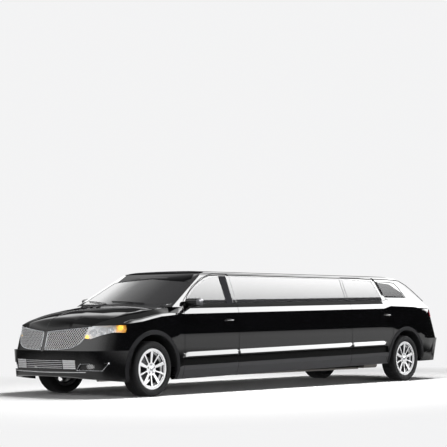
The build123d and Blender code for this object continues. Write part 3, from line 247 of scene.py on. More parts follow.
def surface(nodes):
    """The search tree of some CAD nodes' faces."""
    if nodes not in _trees:
        verts, faces = [], []
        for node in nodes:
            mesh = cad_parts[node].data
            base = len(verts)
            verts += [v.co.copy() for v in mesh.vertices]
            faces += [[base + i for i in p.vertices] for p in mesh.polygons]
        _trees[nodes] = BVHTree.FromPolygons(verts, faces)
    return _trees[nodes]


RAY_START = 6                # ahead of the nose


def cast(nodes, start, direction, proud=0.0):
    """Where a ray first meets some nodes, raised by an amount, or None."""
    hit, normal, _, _ = surface(nodes).ray_cast(Vector(start), Vector(direction))
    return None if hit is None else hit + normal * proud


def side_point(nodes, x, z, sign):
    """The point on the outside of some nodes seen from the side."""
    return cast(nodes, (x, sign * 2, z), (0, -sign, 0))


def front_point(nodes, y, z, proud):
    """The point on the nose of some nodes seen from the front, raised by an amount."""
    return cast(nodes, (RAY_START, y, z), (-1, 0, 0), proud)


# ---------------------------------------------------------------- materials
# Places of a colour mix node's sockets, whose names repeat.
MIX_SHARE, MIX_FIRST, MIX_SECOND, MIX_RESULT = 0, 6, 7, 2
BLACK = (0, 0, 0, 1)
HEIGHT_GROUP = "Height over the belt"
MATERIALS = {}


def add_node(tree, kind, *inputs, **attributes):
    """A new node. Each (input, value) pair sets the input or links the socket that feeds it."""
    new = tree.nodes.new(kind)
    for key, value in attributes.items():
        setattr(new, key, value)
    for key, value in inputs:
        if isinstance(value, bpy.types.NodeSocket):
            tree.links.new(value, new.inputs[key])
        else:
            new.inputs[key].default_value = value
    return new


def maths(tree, operation, *values, clamp=False):
    """The result of a sum on numbers or sockets."""
    return add_node(tree, "ShaderNodeMath", *enumerate(values), operation=operation, use_clamp=clamp).outputs[0]


def mixed(tree, share, first, second):
    """A colour between two, by a share."""
    return add_node(tree, "ShaderNodeMix", (MIX_SHARE, share), (MIX_FIRST, first), (MIX_SECOND, second),
                    data_type="RGBA").outputs[MIX_RESULT]


def grey(level, scale=1):
    """A level of grey as a colour, on a scale."""
    return (*[level / scale] * 3, 1)


def ramp(tree, factor, stops, scale=1, reach=1):
    """Greys over a factor, from (place, level) stops."""
    new = add_node(tree, "ShaderNodeValToRGB", ("Fac", factor))
    elements = new.color_ramp.elements
    for element, (where, level) in zip(list(elements), (stops[0], stops[-1])):
        element.position, element.color = where / reach, grey(level, scale)
    for where, level in stops[1:-1]:
        elements.new(where / reach).color = grey(level, scale)
    return new.outputs["Color"]


def node_material(name):
    """A new material, its node tree and its shader."""
    material = bpy.data.materials.new(name)
    material.use_nodes = True
    tree = material.node_tree
    return material, tree, tree.nodes["Principled BSDF"]


def set_inputs(shader, values):
    """Give a shader constant values."""
    for key, value in values.items():
        shader.inputs[key].default_value = value


def plain(name, color, metallic=0.0, roughness=0.5, coat=0.0, **sockets):
    """A material of constant values."""
    material, _, shader = node_material(name)
    set_inputs(shader, {"Base Color": (*color, 1), "Metallic": metallic, "Roughness": roughness, "Coat Weight": coat,
                        "Coat Roughness": 0.02, **{key.replace("_", " "): value for key, value in sockets.items()}})
    material.diffuse_color = (*color, 1)
    return material


def height_group():
    """Shared effect: how far a point lies over a line that climbs towards the rear, from 0 to 1."""
    group = bpy.data.node_groups.new(HEIGHT_GROUP, "ShaderNodeTree")
    for label, default in (("Start", 1.25), ("Span", 0.35)):
        socket = group.interface.new_socket(label, in_out="INPUT", socket_type="NodeSocketFloat")
        socket.default_value = default
    group.interface.new_socket("Height", in_out="OUTPUT", socket_type="NodeSocketFloat")
    inside, outside = group.nodes.new("NodeGroupInput"), group.nodes.new("NodeGroupOutput")
    place = add_node(group, "ShaderNodeTexCoord").outputs["Object"]
    split = add_node(group, "ShaderNodeSeparateXYZ", (0, place)).outputs
    level = maths(group, "ADD", split["Z"], maths(group, "MULTIPLY_ADD", split["X"], RISE, -RISE * FRONT_X))
    over = maths(group, "SUBTRACT", level, inside.outputs["Start"])
    share = maths(group, "DIVIDE", over, inside.outputs["Span"], clamp=True)
    group.links.new(share, outside.inputs["Height"])
    return group


# Materials of constant values: key, name, colour, metallic, roughness, coat and specular level.
PLAIN = (
    ("flare", "arch_flare", (0.011, 0.011, 0.012), 0, 0.45, 0, 0.06),
    ("chrome", "chrome", (0.82, 0.83, 0.85), 1, 0.06, 0, 0.5),
    ("wire", "grille_wire", (0.75, 0.75, 0.76), 0.2, 0.35, 0, 0.5),
    ("bright_plastic", "bright_plastic", (0.50, 0.50, 0.51), 0.1, 0.4, 0, 0.5),
    ("satin", "satin_chrome", (0.62, 0.63, 0.65), 1, 0.22, 0, 0.5),
    # Painted shade for the rims' inward faces and the nuts' seats.
    ("alloy_painted_shade", "alloy_recess_painted_shade", (0.05, 0.05, 0.053), 0.3, 0.5, 0, 0.1),
    ("disc", "brake_disc", (0.10, 0.10, 0.105), 0.4, 0.45, 0, 0.1),
    ("rubber", "tyre_rubber", (0.010, 0.010, 0.0105), 0, 0.7, 0, 0.12),
    ("black", "matte_black", (0.008, 0.008, 0.0085), 0, 0.7, 0, 0.08),
    ("seal", "rubber_seal", (0.002, 0.002, 0.002), 0, 0.6, 0, 0.03),
    ("grey", "grey_plastic", (0.05, 0.05, 0.054), 0, 0.6, 0, 0.1),
    ("pillar", "pillar_cover", (0.020, 0.020, 0.022), 0, 0.5, 0, 0),
    ("steel", "chassis_paint", (0.012, 0.012, 0.013), 0, 0.7, 0, 0.1),
    ("exhaust", "exhaust_steel", (0.30, 0.28, 0.26), 1, 0.35, 0, 0.5),
    ("radiator", "radiator_core", (0.02, 0.02, 0.02), 0.5, 0.6, 0, 0.5),
    ("engine", "cast_engine", (0.25, 0.25, 0.26), 0.9, 0.5, 0, 0.5),
    ("white_lens", "white_lens", (0.85, 0.86, 0.88), 0, 0.1, 0.8, 0.5),
    ("mirror_cap", "mirror_cap", (0.10, 0.10, 0.105), 0.6, 0.25, 0, 0.5),
    ("bucket", "lamp_bucket", (0.85, 0.86, 0.88), 0.15, 0.25, 0, 0.5),
    ("mirror", "mirror_glass", (0.8, 0.82, 0.84), 1, 0.01, 0, 0.5),
)
# Painted finishes: key, name and the share of the coat. The hood and roof copies have their coat cut down, painted
# shade that dims their reflections.
PAINTS = (("paint", "gloss_black_paint", 1.0), ("hood", "hood_paint_painted_shade", 0.40), ("roof", "roof_paint_painted_shade", 0.12))


def make_materials(look):
    """All finishes, from the tables and the look's colours."""
    m = MATERIALS
    for key, name, color, metallic, roughness, coat, specular in PLAIN:
        m[key] = plain(name, color, metallic, roughness, coat, Specular_IOR_Level=specular)
    for key, name, coat in PAINTS:
        m[key] = plain(name, look.paint, 0, 0.5, coat, Specular_IOR_Level=0, Coat_IOR=look.coat_ior)
    m["cladding"] = plain("satin_cladding", look.cladding, roughness=0.38, Specular_IOR_Level=0.25)
    m["alloy"] = plain("polished_alloy", look.alloy, 0.3, 0.3)
    m["red"] = plain("red_lens", (0.55, 0.03, 0.05), 0, 0.12, 0.8, Emission_Color=(0.9, 0.05, 0.08, 1),
                     Emission_Strength=0.25)
    m["amber_clear"] = plain("amber_clear_lens", (0.95, 0.42, 0.04), 0, 0.03, 1.0, Alpha=0.42)
    m["lit_amber"] = plain("lit_amber", (1.0, 0.62, 0.08), 0, 0.3, Emission_Color=(1.0, 0.60, 0.10, 1),
                           Emission_Strength=1.0)
    m["leather"] = leather_material("black_leather", (0.022, 0.021, 0.020))
    m["leather_light"] = leather_material("grey_leather", (0.20, 0.19, 0.18))
    m["wood"] = wood_material()
    m["clear"] = clear_material()
    m["floor"] = floor_material(look)
    m["glass"] = window_material("tinted_side_glass", look.side_glass, look.glass_gloss, True)
    # The quarter glass keeps about a third of the side glass's gloss, painted shade that darkens its reflections.
    m["quarter_glass_painted_shade"] = window_material("quarter_glass_painted_shade", look.side_glass, look.glass_gloss * 0.32, True)
    m["windshield"] = window_material("windshield_glass", look.windshield, 0.9, False)


def leather_material(name, color):
    """Leather with a fine cell grain."""
    material, tree, shader = node_material(name)
    set_inputs(shader, {"Base Color": (*color, 1), "Roughness": 0.48})
    place = add_node(tree, "ShaderNodeTexCoord").outputs["Object"]
    grain = add_node(tree, "ShaderNodeTexVoronoi", ("Scale", 260), ("Vector", place))
    bump = add_node(tree, "ShaderNodeBump", ("Strength", 0.15), ("Distance", 0.001),
                    ("Height", grain.outputs["Distance"]))
    tree.links.new(bump.outputs["Normal"], shader.inputs["Normal"])
    return material


def wood_material():
    """Lacquered wood with its grain drawn out along X."""
    material, tree, shader = node_material("lacquered_wood")
    set_inputs(shader, {"Roughness": 0.3, "Coat Weight": 0.8})
    place = add_node(tree, "ShaderNodeTexCoord").outputs["Object"]
    mapping = add_node(tree, "ShaderNodeMapping", ("Scale", (0.6, 6, 6)), ("Vector", place))
    grain = add_node(tree, "ShaderNodeTexNoise", ("Scale", 6), ("Detail", 6), ("Vector", mapping.outputs["Vector"]))
    tones = add_node(tree, "ShaderNodeValToRGB", ("Fac", grain.outputs["Fac"]))
    dark, light = tones.color_ramp.elements
    dark.color, light.color = (0.035, 0.015, 0.007, 1), (0.16, 0.075, 0.03, 1)
    tree.links.new(tones.outputs["Color"], shader.inputs["Base Color"])
    return material


def clear_material():
    """A thin clear lens: see-through, with the gloss of its outer face."""
    material, _, shader = node_material("clear_lens")
    set_inputs(shader, {"Base Color": (1, 1, 1, 1), "Roughness": 0.02, "Metallic": 0.0, "Alpha": 0.12,
                        "Coat Weight": 1.0})
    return material


# Share of the side glass's gloss over the height above the belt, weaker towards the foot: painted shade on the glass's
# reflections.
SHADE_GLOSS_STEPS = ((0.06, 0.62), (0.35, 0.76), (0.7, 0.9), (1.0, 1.0))
SHADE_GLOSS_FOOT = (0.045, 0.03)


def window_material(name, color, coat, ramped):
    """Dark glass whose gloss is weaker along its lower edge where ramped, a painted shade on its reflections there."""
    material, tree, shader = node_material(name)
    set_inputs(shader, {"Base Color": (*color, 1), "Roughness": 0.3, "Alpha": 0.9, "Coat Weight": coat,
                        "Coat Roughness": 0.015, "Coat IOR": 1.6, "Specular IOR Level": 0.0})
    if ramped:
        height = add_node(tree, "ShaderNodeGroup", node_tree=bpy.data.node_groups.get(HEIGHT_GROUP) or height_group())
        stops = (SHADE_GLOSS_FOOT,) + tuple((place, coat * share) for place, share in SHADE_GLOSS_STEPS)
        tree.links.new(ramp(tree, height.outputs["Height"], stops), shader.inputs["Coat Weight"])
    return material


# ---------------------------------------------------------------- geometry node trees
def gn_tree(name, inputs):
    """A new geometry tree with named inputs, its input node and its output node."""
    tree = bpy.data.node_groups.new(name, "GeometryNodeTree")
    tree.interface.new_socket("Geometry", in_out="OUTPUT", socket_type="NodeSocketGeometry")
    for label, kind, default in inputs:
        socket = tree.interface.new_socket(label, in_out="INPUT", socket_type=kind)
        if default is not None:
            socket.default_value = default
    return tree, tree.nodes.new("NodeGroupInput"), tree.nodes.new("NodeGroupOutput")


def ring_tree():
    """Blocks stood round a circle in the XY plane, each turned to face outwards."""
    tree, inside, outside = gn_tree("Ring of blocks", (
        ("Count", "NodeSocketInt", 60), ("Radius", "NodeSocketFloat", 0.36),
        ("Size", "NodeSocketVector", (0.01, 0.02, 0.03)), ("Height", "NodeSocketFloat", 0.0),
        ("Skew", "NodeSocketFloat", 0.0), ("Material", "NodeSocketMaterial", None)))
    given = inside.outputs
    circle = add_node(tree, "GeometryNodeMeshCircle", ("Vertices", given["Count"]), ("Radius", given["Radius"]))
    brick = add_node(tree, "GeometryNodeMeshCube", ("Size", given["Size"]))
    turn = add_node(tree, "ShaderNodeCombineXYZ", ("X", given["Skew"]))
    slant = add_node(tree, "GeometryNodeTransform", ("Geometry", brick.outputs["Mesh"]), ("Rotation", turn.outputs[0]))
    place = add_node(tree, "GeometryNodeInputPosition")
    facing = add_node(tree, "FunctionNodeAlignRotationToVector", ("Vector", place.outputs[0]), axis="X", pivot_axis="Z")
    stand = add_node(tree, "GeometryNodeInstanceOnPoints", ("Points", circle.outputs["Mesh"]),
                     ("Instance", slant.outputs["Geometry"]), ("Rotation", facing.outputs["Rotation"]))
    lift = add_node(tree, "ShaderNodeCombineXYZ", ("Z", given["Height"]))
    shift = add_node(tree, "GeometryNodeTransform", ("Geometry", stand.outputs["Instances"]),
                     ("Translation", lift.outputs[0]))
    finish_tree(tree, shift.outputs["Geometry"], inside, outside)
    return tree


def row_tree():
    """Blocks in a straight row."""
    tree, inside, outside = gn_tree("Row of bars", (
        ("Count", "NodeSocketInt", 6), ("Start", "NodeSocketVector", (0, 0, 0)),
        ("Step", "NodeSocketVector", (0.02, 0, 0)), ("Size", "NodeSocketVector", (0.01, 0.01, 0.1)),
        ("Material", "NodeSocketMaterial", None)))
    given = inside.outputs
    line = add_node(tree, "GeometryNodeMeshLine", ("Count", given["Count"]), ("Start Location", given["Start"]),
                    ("Offset", given["Step"]))
    brick = add_node(tree, "GeometryNodeMeshCube", ("Size", given["Size"]))
    stand = add_node(tree, "GeometryNodeInstanceOnPoints", ("Points", line.outputs["Mesh"]),
                     ("Instance", brick.outputs["Mesh"]))
    finish_tree(tree, stand.outputs["Instances"], inside, outside)
    return tree


def finish_tree(tree, result, inside, outside):
    """Realize the instances, give them their material and pass them out."""
    real = add_node(tree, "GeometryNodeRealizeInstances", ("Geometry", result))
    paint = add_node(tree, "GeometryNodeSetMaterial", ("Geometry", real.outputs["Geometry"]),
                     ("Material", inside.outputs["Material"]))
    tree.links.new(paint.outputs["Geometry"], outside.inputs["Geometry"])


def grown(name, builder, **values):
    """The plain mesh that a geometry tree makes with these input values."""
    title = {"ring": "Ring of blocks", "row": "Row of bars"}[builder]
    tree = bpy.data.node_groups.get(title) or (ring_tree() if builder == "ring" else row_tree())
    host = link(bpy.data.objects.new(name, bpy.data.meshes.new(name + "_seed")))
    modifier = host.modifiers.new("Tree", "NODES")
    modifier.node_group = tree
    for socket in tree.interface.items_tree:
        if socket.in_out == "INPUT" and socket.name in values:
            modifier[socket.identifier] = values[socket.name]
    return baked(host, name)


# ---------------------------------------------------------------- painted panels
# One row a CAD node: node, the body it rides on, the angle up to which it is smooth.
PANELS = (
    ("hood", "hood", 34), ("fenders", "body", 30), ("front_bumper", "body", 34), ("cowl", "body", 34),
    ("side_panels", "body", 9), ("roof", "body", 20), ("rear_bumper", "body", 30), ("tailgate", "tailgate", 26),
    ("door_front_left", "front_left_door", 9), ("door_front_right", "front_right_door", 9),
    ("door_rear_left", "rear_left_door", 9), ("door_rear_right", "rear_right_door", 9),
)


# Finishes of a panel's faces, by their place in its list of materials.
PAINT, SEAL_AND_SHADE, PLASTIC, CLADDING, SHADED_ROOF, FLARE = range(6)
# Levels over the front axle, which climb backwards along the side with RISE.
BELT = (1.160, 1.226)        # the dark seal under the side windows
SHOULDER = (1.06, 1.12)      # the crease along the side
GROOVE = (0.385, 0.493)      # the groove behind the moulding, given the near-black seal finish as painted shade
SILL_TOP = 0.383
# Half-widths.
ROOF_HALF = 0.66             # the roof's flat top
INNER_HALF = 0.852           # inner faces lie nearer the middle than this
GROOVE_HALF = (0.92, 0.945)
SILL_HALF = 0.88
ARCH = (0.458, 0.5175)       # radii between which a wheel arch's flare lies


def over_front_axle(place):
    """The height at the front axle of the climbing side line that passes through a place."""
    return place.z - RISE * (FRONT_X - place.x)


def on_shoulder(place):
    """Whether a point lies on the crease along the side, which stays crisp."""
    return abs(place.y) > 0.93 and SHOULDER[0] < over_front_axle(place) < SHOULDER[1] and place.x < front(0.1)


def finish_of(node, place, normal):
    """Which of a panel's finishes a face has."""
    level = over_front_axle(place)
    half = abs(place.y)
    on_side = node.startswith(("door", "side"))
    if node == "cowl":
        return PLASTIC
    # The roof's flat top takes the roof paint, whose cut-down coat is painted shade.
    if node == "roof" and half < ROOF_HALF:
        return SHADED_ROOF
    if on_side and BELT[0] < level < BELT[1] and rear(-0.62) < place.x < front(0.62):
        return SEAL_AND_SHADE
    if on_side and half < INNER_HALF and normal.y * place.y < 0:
        return PLASTIC
    # The groove takes the near-black seal finish, painted shade in the recess.
    if GROOVE[0] < level < GROOVE[1] and GROOVE_HALF[0] < half < GROOVE_HALF[1] and front(0.58) > place.x > rear(-0.6):
        return SEAL_AND_SHADE
    if level < SILL_TOP and half > SILL_HALF and front(0.5) > place.x > rear(-0.5):
        return CLADDING
    nearest = FRONT_X if place.x > 0 else REAR_X
    if ARCH[0] < math.hypot(place.x - nearest, place.z - AXLE_Z) < ARCH[1] and half > 0.9:
        return FLARE
    return PAINT


# The outer edge of the fender's top: distance behind the front axle, half-width and height.
FENDER_EDGE = ((-0.520, 0.884, 0.962), (-0.435, 0.904, 0.972), (-0.372, 0.917, 0.980), (-0.270, 0.934, 0.993),
               (-0.202, 0.943, 1.002), (0.0, 0.947, 1.040), (0.150, 0.950, 1.066), (0.620, 0.950, 1.098))


# The brow's section: how far out and up from that edge.
BROW_SECTION = ((-0.004, -0.008), (0.0012, 0.0), (-0.0035, 0.013), (-0.0085, 0.026), (-0.0145, 0.037),
                (-0.020, 0.041), (-0.032, 0.0425), (-0.072, 0.036))


def brow(side, sign):
    """The full brow along the fender's shoulder, dying out at both ends."""
    behind, half, level = zip(*FENDER_EDGE)
    bm = bmesh.new()
    rows = []
    for k in range(41):
        b = -0.515 + 1.115 * k / 40
        y, z = float(np.interp(b, behind, half)), float(np.interp(b, behind, level))
        tall = min(1, math.sqrt((b + 0.5151) / 0.14), math.sqrt(max(0, 0.6001 - b) / 0.30))
        row = []
        for dy, dz in BROW_SECTION:
            inward = dy * (1 if dy > -0.03 else 0.4 + 0.6 * tall)
            row.append(bm.verts.new((front(b), sign * (y + inward), z + dz * tall - 0.001)))
        rows.append(row)
    skinned(bm, rows)
    sheet_facing(bm, Vector((0, sign, 0)))
    return from_bmesh(f"fender_brow_{side}", bm, MATERIALS["paint"], 28)


def hood_ridge():
    """The raised line down the middle of the hood."""
    points = []
    for k in range(24):
        x = front(-1.045 + 0.95 * k / 23)
        top = cast(("hood",), (x, 0, 3), (0, 0, -1))
        points.append(top - Vector((0, 0, 0.003 + 0.004 * k / 23)))
    return tube("hood_ridge", points, 0.0075, MATERIALS["paint"])


def panel(node, angle):
    """A smooth copy of a painted node, its faces sorted by finish."""
    bm = merged(node)
    if node.startswith(("door", "side")):
        for level in BELT:
            split_at(bm, (FRONT_X, 0, level), (RISE, 0, 1))
    bm.normal_update()
    limit = math.radians(angle)
    for face in bm.faces:
        face.smooth = True
        face.material_index = finish_of(node, face.calc_center_median(), face.normal)
    for edge in bm.edges:
        angle_here = edge.calc_face_angle(0) if len(edge.link_faces) == 2 else 3
        middle = (edge.verts[0].co + edge.verts[1].co) / 2
        edge.smooth = angle_here < (0.05 if on_shoulder(middle) else limit)
    # The hood's paint has a weaker coat than the body's, painted shade on its reflections.
    paint = MATERIALS["hood" if node == "hood" else "paint"]
    others = [MATERIALS[key] for key in ("seal", "black", "cladding", "roof", "flare")]
    return from_bmesh(node + "_skin", bm, [paint, *others])


QUARTER_START = 5.38         # how far behind the front axle the quarter glass begins


def glass_panel(node, material):
    """A smooth copy of a pane."""
    bm = merged(node)
    for face in bm.faces:
        # Faces behind the quarter's start take the quarter glass with its painted shade.
        face.material_index = 1 if face.calc_center_median().x < front(QUARTER_START) else 0
    return from_bmesh(node + "_pane", bm, (material, MATERIALS["quarter_glass_painted_shade"]), 22)


GLASS = (
    ("side_windows", "body", "glass"), ("windshield", "body", "windshield"),
    ("tailgate_glass", "tailgate", "windshield"),
    ("door_glass_front_left", "front_left_door", "glass"), ("door_glass_front_right", "front_right_door", "glass"),
    ("door_glass_rear_left", "rear_left_door", "glass"), ("door_glass_rear_right", "rear_right_door", "glass"),
)

# ---------------------------------------------------------------- wheels
# Tyre's profile, half of it: radius and distance from the middle.
TYRE_PROFILE = ((0.2545, 0.0965), (0.2715, 0.0965), (0.276, 0.113), (0.284, 0.121), (0.287, 0.1235), (0.290, 0.1225),
                (0.300, 0.1255), (0.312, 0.1272), (0.326, 0.1262), (0.338, 0.1235), (0.3405, 0.1245), (0.343, 0.1232),
                (0.352, 0.118), (0.3605, 0.108), (0.3645, 0.098), (0.3655, 0.080), (0.3655, 0.0))
# Tread rows: distance from the middle, width, blocks, skew.
TREAD_ROWS = ((0.0, 0.030, 70, 0.0), (0.039, 0.030, 66, 0.35), (-0.039, 0.030, 66, -0.35),
              (0.077, 0.030, 58, 0.1), (-0.077, 0.030, 58, -0.1))


def wheel_piece(name, obj, x, sign):
    """A piece built round the Z axis at the origin, turned onto a wheel's axis."""
    turn = Matrix.Rotation(math.radians(-90 * sign), 4, "X")
    obj.data.transform(Matrix.Translation((x, sign * WHEEL_Y, AXLE_Z)) @ turn)
    obj.name = obj.data.name = name
    return obj


def tyre(end, x, side, sign):
    """One tyre with its tread blocks and side bands."""
    name = f"tyre_{end}_{side}"
    profile = list(TYRE_PROFILE) + [(r, -a) for r, a in TYRE_PROFILE[-2::-1]]
    profile.append(profile[0])
    carcass = revolved(name + "_carcass", profile, (0, 0, 0), (0, 0, 1), MATERIALS["rubber"], 96, 50)
    parts = [carcass]
    for along, width, count, skew in TREAD_ROWS:
        row = grown("row", "ring", Count=count, Radius=0.3665, Size=(0.0038, 0.0265, width), Height=along,
                    Skew=skew, Material=MATERIALS["rubber"])
        parts.append(row)
    whole = joined(name + "_tread", parts)
    return wheel_piece(name + "_tread", whole, x, sign)


def bright_rim(end, side, sign):
    """A polished copy of a rim, with painted shade on the faces that look inwards."""
    bm = merged(f"rim_{end}_{side}")
    bm.normal_update()
    for face in bm.faces:
        face.material_index = 1 if face.normal.y * sign < 0.05 else 0
    return from_bmesh(f"rim_{end}_{side}_bright", bm, (MATERIALS["alloy"], MATERIALS["alloy_painted_shade"]), 32)


def wheel_details(end, x, side, sign):
    """Lug nuts on dark seats of painted shade, and the centre cap."""
    parts = [revolved("cap", ((0, 0.014), (0.024, 0.0135), (0.030, 0.010), (0.032, 0.0), (0.032, -0.01)),
                      (0, 0, 0.082), (0, 0, 1), MATERIALS["chrome"], 40)]
    for k in range(5):
        turn = math.radians(90 + 36 + 72 * k)
        centre = (0.057 * math.cos(turn), 0.057 * math.sin(turn), 0.080)
        parts.append(revolved("seat", ((0.0125, 0.0005), (0.0125, 0.003), (0.0, 0.003)), centre, (0, 0, 1),
                              MATERIALS["alloy_painted_shade"], 16))
        parts.append(revolved("nut", ((0.0085, 0.0), (0.0085, 0.010), (0.006, 0.013), (0.0, 0.014)), centre,
                              (0, 0, 1), MATERIALS["chrome"], 6))
    return wheel_piece(f"hub_{end}_{side}", joined(f"hub_{end}_{side}", parts), x, sign)


def brake(end, x, side, sign):
    """Disc and caliper behind the spokes."""
    disc = revolved("disc", ((0.062, -0.030), (0.16, -0.030), (0.165, -0.033), (0.165, -0.052), (0.16, -0.056),
                             (0.062, -0.056), (0.062, -0.030)), (0, 0, 0), (0, 0, 1), MATERIALS["disc"], 64)
    caliper = rounded_box("caliper", (-0.195, -0.05, -0.07), (-0.105, 0.05, -0.015), 0.012, MATERIALS["grey"])
    whole = joined(f"brake_{end}_{side}", [disc, caliper])
    return wheel_piece(f"brake_{end}_{side}", whole, x, sign)


# ---------------------------------------------------------------- lamps, grille and trim
# The nose's foremost line, and how far it falls back for each metre over and under it.
NOSE_X = FRONT_X + 1.130
NOSE_Z = 0.620
NOSE_LEAN = (0.27, 0.12)
# Half-width, and how far the nose lies back there over and under its foremost line.
NOSE_PLAN = ((0.0, 0.008, 0.0), (0.08, 0.0101, 0.0016), (0.16, 0.0162, 0.0053), (0.24, 0.0265, 0.0111),
             (0.33, 0.043, 0.0203), (0.4, 0.0596, 0.0293), (0.47, 0.0796, 0.0399), (0.545, 0.105, 0.0568),
             (0.6, 0.1306, 0.0783), (0.65, 0.1608, 0.1057), (0.7, 0.1991, 0.1425), (0.75, 0.248, 0.192),
             (0.8, 0.3124, 0.2626), (0.85, 0.4063, 0.3785), (0.88, 0.4999, 0.4651), (0.905, 0.6044, 0.5507),
             (0.93, 0.735, 0.6574), (0.95, 0.8818, 0.7757))
# Outlines as (half-width, height), and the corner lamp's datum as (x, half-width).
GRILLE_WING = ((0.038, 0.628), (0.292, 0.636), (0.400, 0.647), (0.478, 0.663), (0.560, 0.709), (0.600, 0.775),
               (0.618, 0.850), (0.634, 0.922), (0.300, 0.888), (0.038, 0.862))
FOG_OUTLINE = ((0.552, 0.372), (0.606, 0.452), (0.846, 0.464), (0.806, 0.362))
LAMP_DATUM = (front(-0.650), 0.700)


def nose_x(y, z):
    """X of the nose's outer face."""
    ys, over, under = zip(*NOSE_PLAN)
    if z >= NOSE_Z:
        return NOSE_X - float(np.interp(abs(y), ys, over)) - NOSE_LEAN[0] * (z - NOSE_Z)
    return NOSE_X - float(np.interp(abs(y), ys, under)) - NOSE_LEAN[1] * (NOSE_Z - z)


def clipped(outline, start, end):
    """The stretch of a line that lies inside a convex outline, as two points, or None."""
    low, high = 0.0, 1.0
    count = len(outline)
    area = sum(outline[k][0] * outline[(k + 1) % count][1] - outline[(k + 1) % count][0] * outline[k][1]
               for k in range(count))
    for k in range(count):
        (ax, az), (bx, bz) = outline[k], outline[(k + 1) % count]
        nx, nz = (az - bz, bx - ax) if area > 0 else (bz - az, ax - bx)
        first = (start[0] - ax) * nx + (start[1] - az) * nz
        last = (end[0] - ax) * nx + (end[1] - az) * nz
        if first < 0 and last < 0:
            return None
        if first * last < 0:
            share = first / (first - last)
            low, high = (max(low, share), high) if first < 0 else (low, min(high, share))
    if high - low < 1e-3:
        return None
    return [tuple(a + (b - a) * t for a, b in zip(start, end)) for t in (low, high)]


def grille_mesh(sign, pitch, wire):
    """Crossed fine wires inside one grille wing."""
    parts = []
    for lean in (0.8, -0.8):
        for k in range(-12, 40):
            foot = 0.02 + k * pitch
            start, end = (foot, 0.60), (foot + 0.36 * lean, 0.96)
            ends = clipped(GRILLE_WING, start, end)
            if not ends:
                continue
            points = []
            for t in (0, 0.34, 0.67, 1):
                y = ends[0][0] + (ends[1][0] - ends[0][0]) * t
                z = ends[0][1] + (ends[1][1] - ends[0][1]) * t
                points.append((nose_x(y, z) - 0.002, sign * y, z))
            parts.append(tube("wire", points, wire, MATERIALS["wire"], sides=4))
    return parts


def grille_back(sign):
    """The near-black sheet behind one wing's wires, painted shade in place of the space behind the grille."""
    bm = bmesh.new()
    verts = [bm.verts.new((nose_x(y, z) - 0.016, sign * y, z)) for y, z in GRILLE_WING]
    turned(bm.faces.new(verts), Vector((1, 0, 0)))
    bmesh.ops.triangulate(bm, faces=bm.faces[:])
    return from_bmesh("back", bm, MATERIALS["seal"])


def grille_bar():
    """The bar between the two wings, wider at the top, crowned across."""
    bm = bmesh.new()
    rows = []
    for k in range(9):
        z = 0.612 + 0.255 * k / 8
        half = 0.030 + 0.010 * k / 8
        rows.append([bm.verts.new((nose_x(0, z) + 0.012 * (1 - t * t) - 0.006, half * t, z))
                     for t in (-1, -0.6, 0, 0.6, 1)])
    skinned(bm, rows)
    sheet_facing(bm, Vector((1, 0, 0)))
    return from_bmesh("grille_bar", bm, MATERIALS["paint"], 60)


def chin_lip():
    """The light line along the chin."""
    level = 0.338
    points = [(nose_x(y, level) + 0.001, y, level + 0.012 * abs(y)) for y in np.linspace(-0.66, 0.66, 31)]
    return tube("chin_lip", points, 0.006, MATERIALS["bright_plastic"])


RIB_FOOT, RIB_REACH = 0.384, 0.118     # level where the bars begin, and the height they fill
# Lengths of bars from the middle out: start, end and the share of the pitch that is bar.
RIB_LENGTHS = ((0.0, 0.085, 0.3), (0.085, 0.17, 0.3), (0.17, 0.25, 0.3), (0.25, 0.33, 0.3),
               (0.345, 0.40, 0.8), (0.40, 0.45, 0.8), (0.45, 0.50, 0.8), (0.50, 0.54, 0.8))


def lower_ribs(side, sign, count):
    """Half of the bars in the lower grille, and the ribbed panel beside it."""
    parts = []
    step = RIB_REACH / count
    for start, end, tall in RIB_LENGTHS:
        rows = grown("ribs", "row", Count=count, Start=(0, sign * (start + end) / 2, RIB_FOOT + step / 2),
                     Step=(0, 0, step), Size=(0.006, end - start, step * tall), Material=MATERIALS["bright_plastic"])
        for vert in rows.data.vertices:
            vert.co.x += nose_x(vert.co.y, vert.co.z) - 0.001
        parts.append(rows)
    return joined(f"lower_ribs_{side}", parts)


def outline_on_nose(outline, sign, proud, per_edge=6):
    """Points along a closed outline, laid on the nose."""
    points = []
    count = len(outline)
    for k in range(count):
        (ay, az), (by, bz) = outline[k], outline[(k + 1) % count]
        for step in range(per_edge):
            t = step / per_edge
            y, z = ay + (by - ay) * t, az + (bz - az) * t
            points.append((nose_x(y, z) + proud, sign * y, z))
    return points


def corner_frame(sign):
    """Across and outward directions of a headlamp seen from its corner."""
    return Vector((-1, sign, 0)).normalized(), Vector((1, sign, 0)).normalized()


def corner_point(sign, u, z, deep):
    """A point u across from the lamp's datum, so deep behind the lens."""
    across, out = corner_frame(sign)
    datum = Vector((LAMP_DATUM[0], sign * LAMP_DATUM[1], z)) + across * u
    return (cast(("headlamps", "fenders", "hood", "front_bumper"), datum + out * 2, -out) or datum) - out * deep


AMBER_FROM = 0.128           # how far across from the datum the amber corner begins
# Profiles as (radius, along); the bowls' and turn lamps' take a lamp's own radius.
BULB = ((0.0, 0.012), (0.010, 0.008), (0.014, -0.002), (0.014, -0.012))


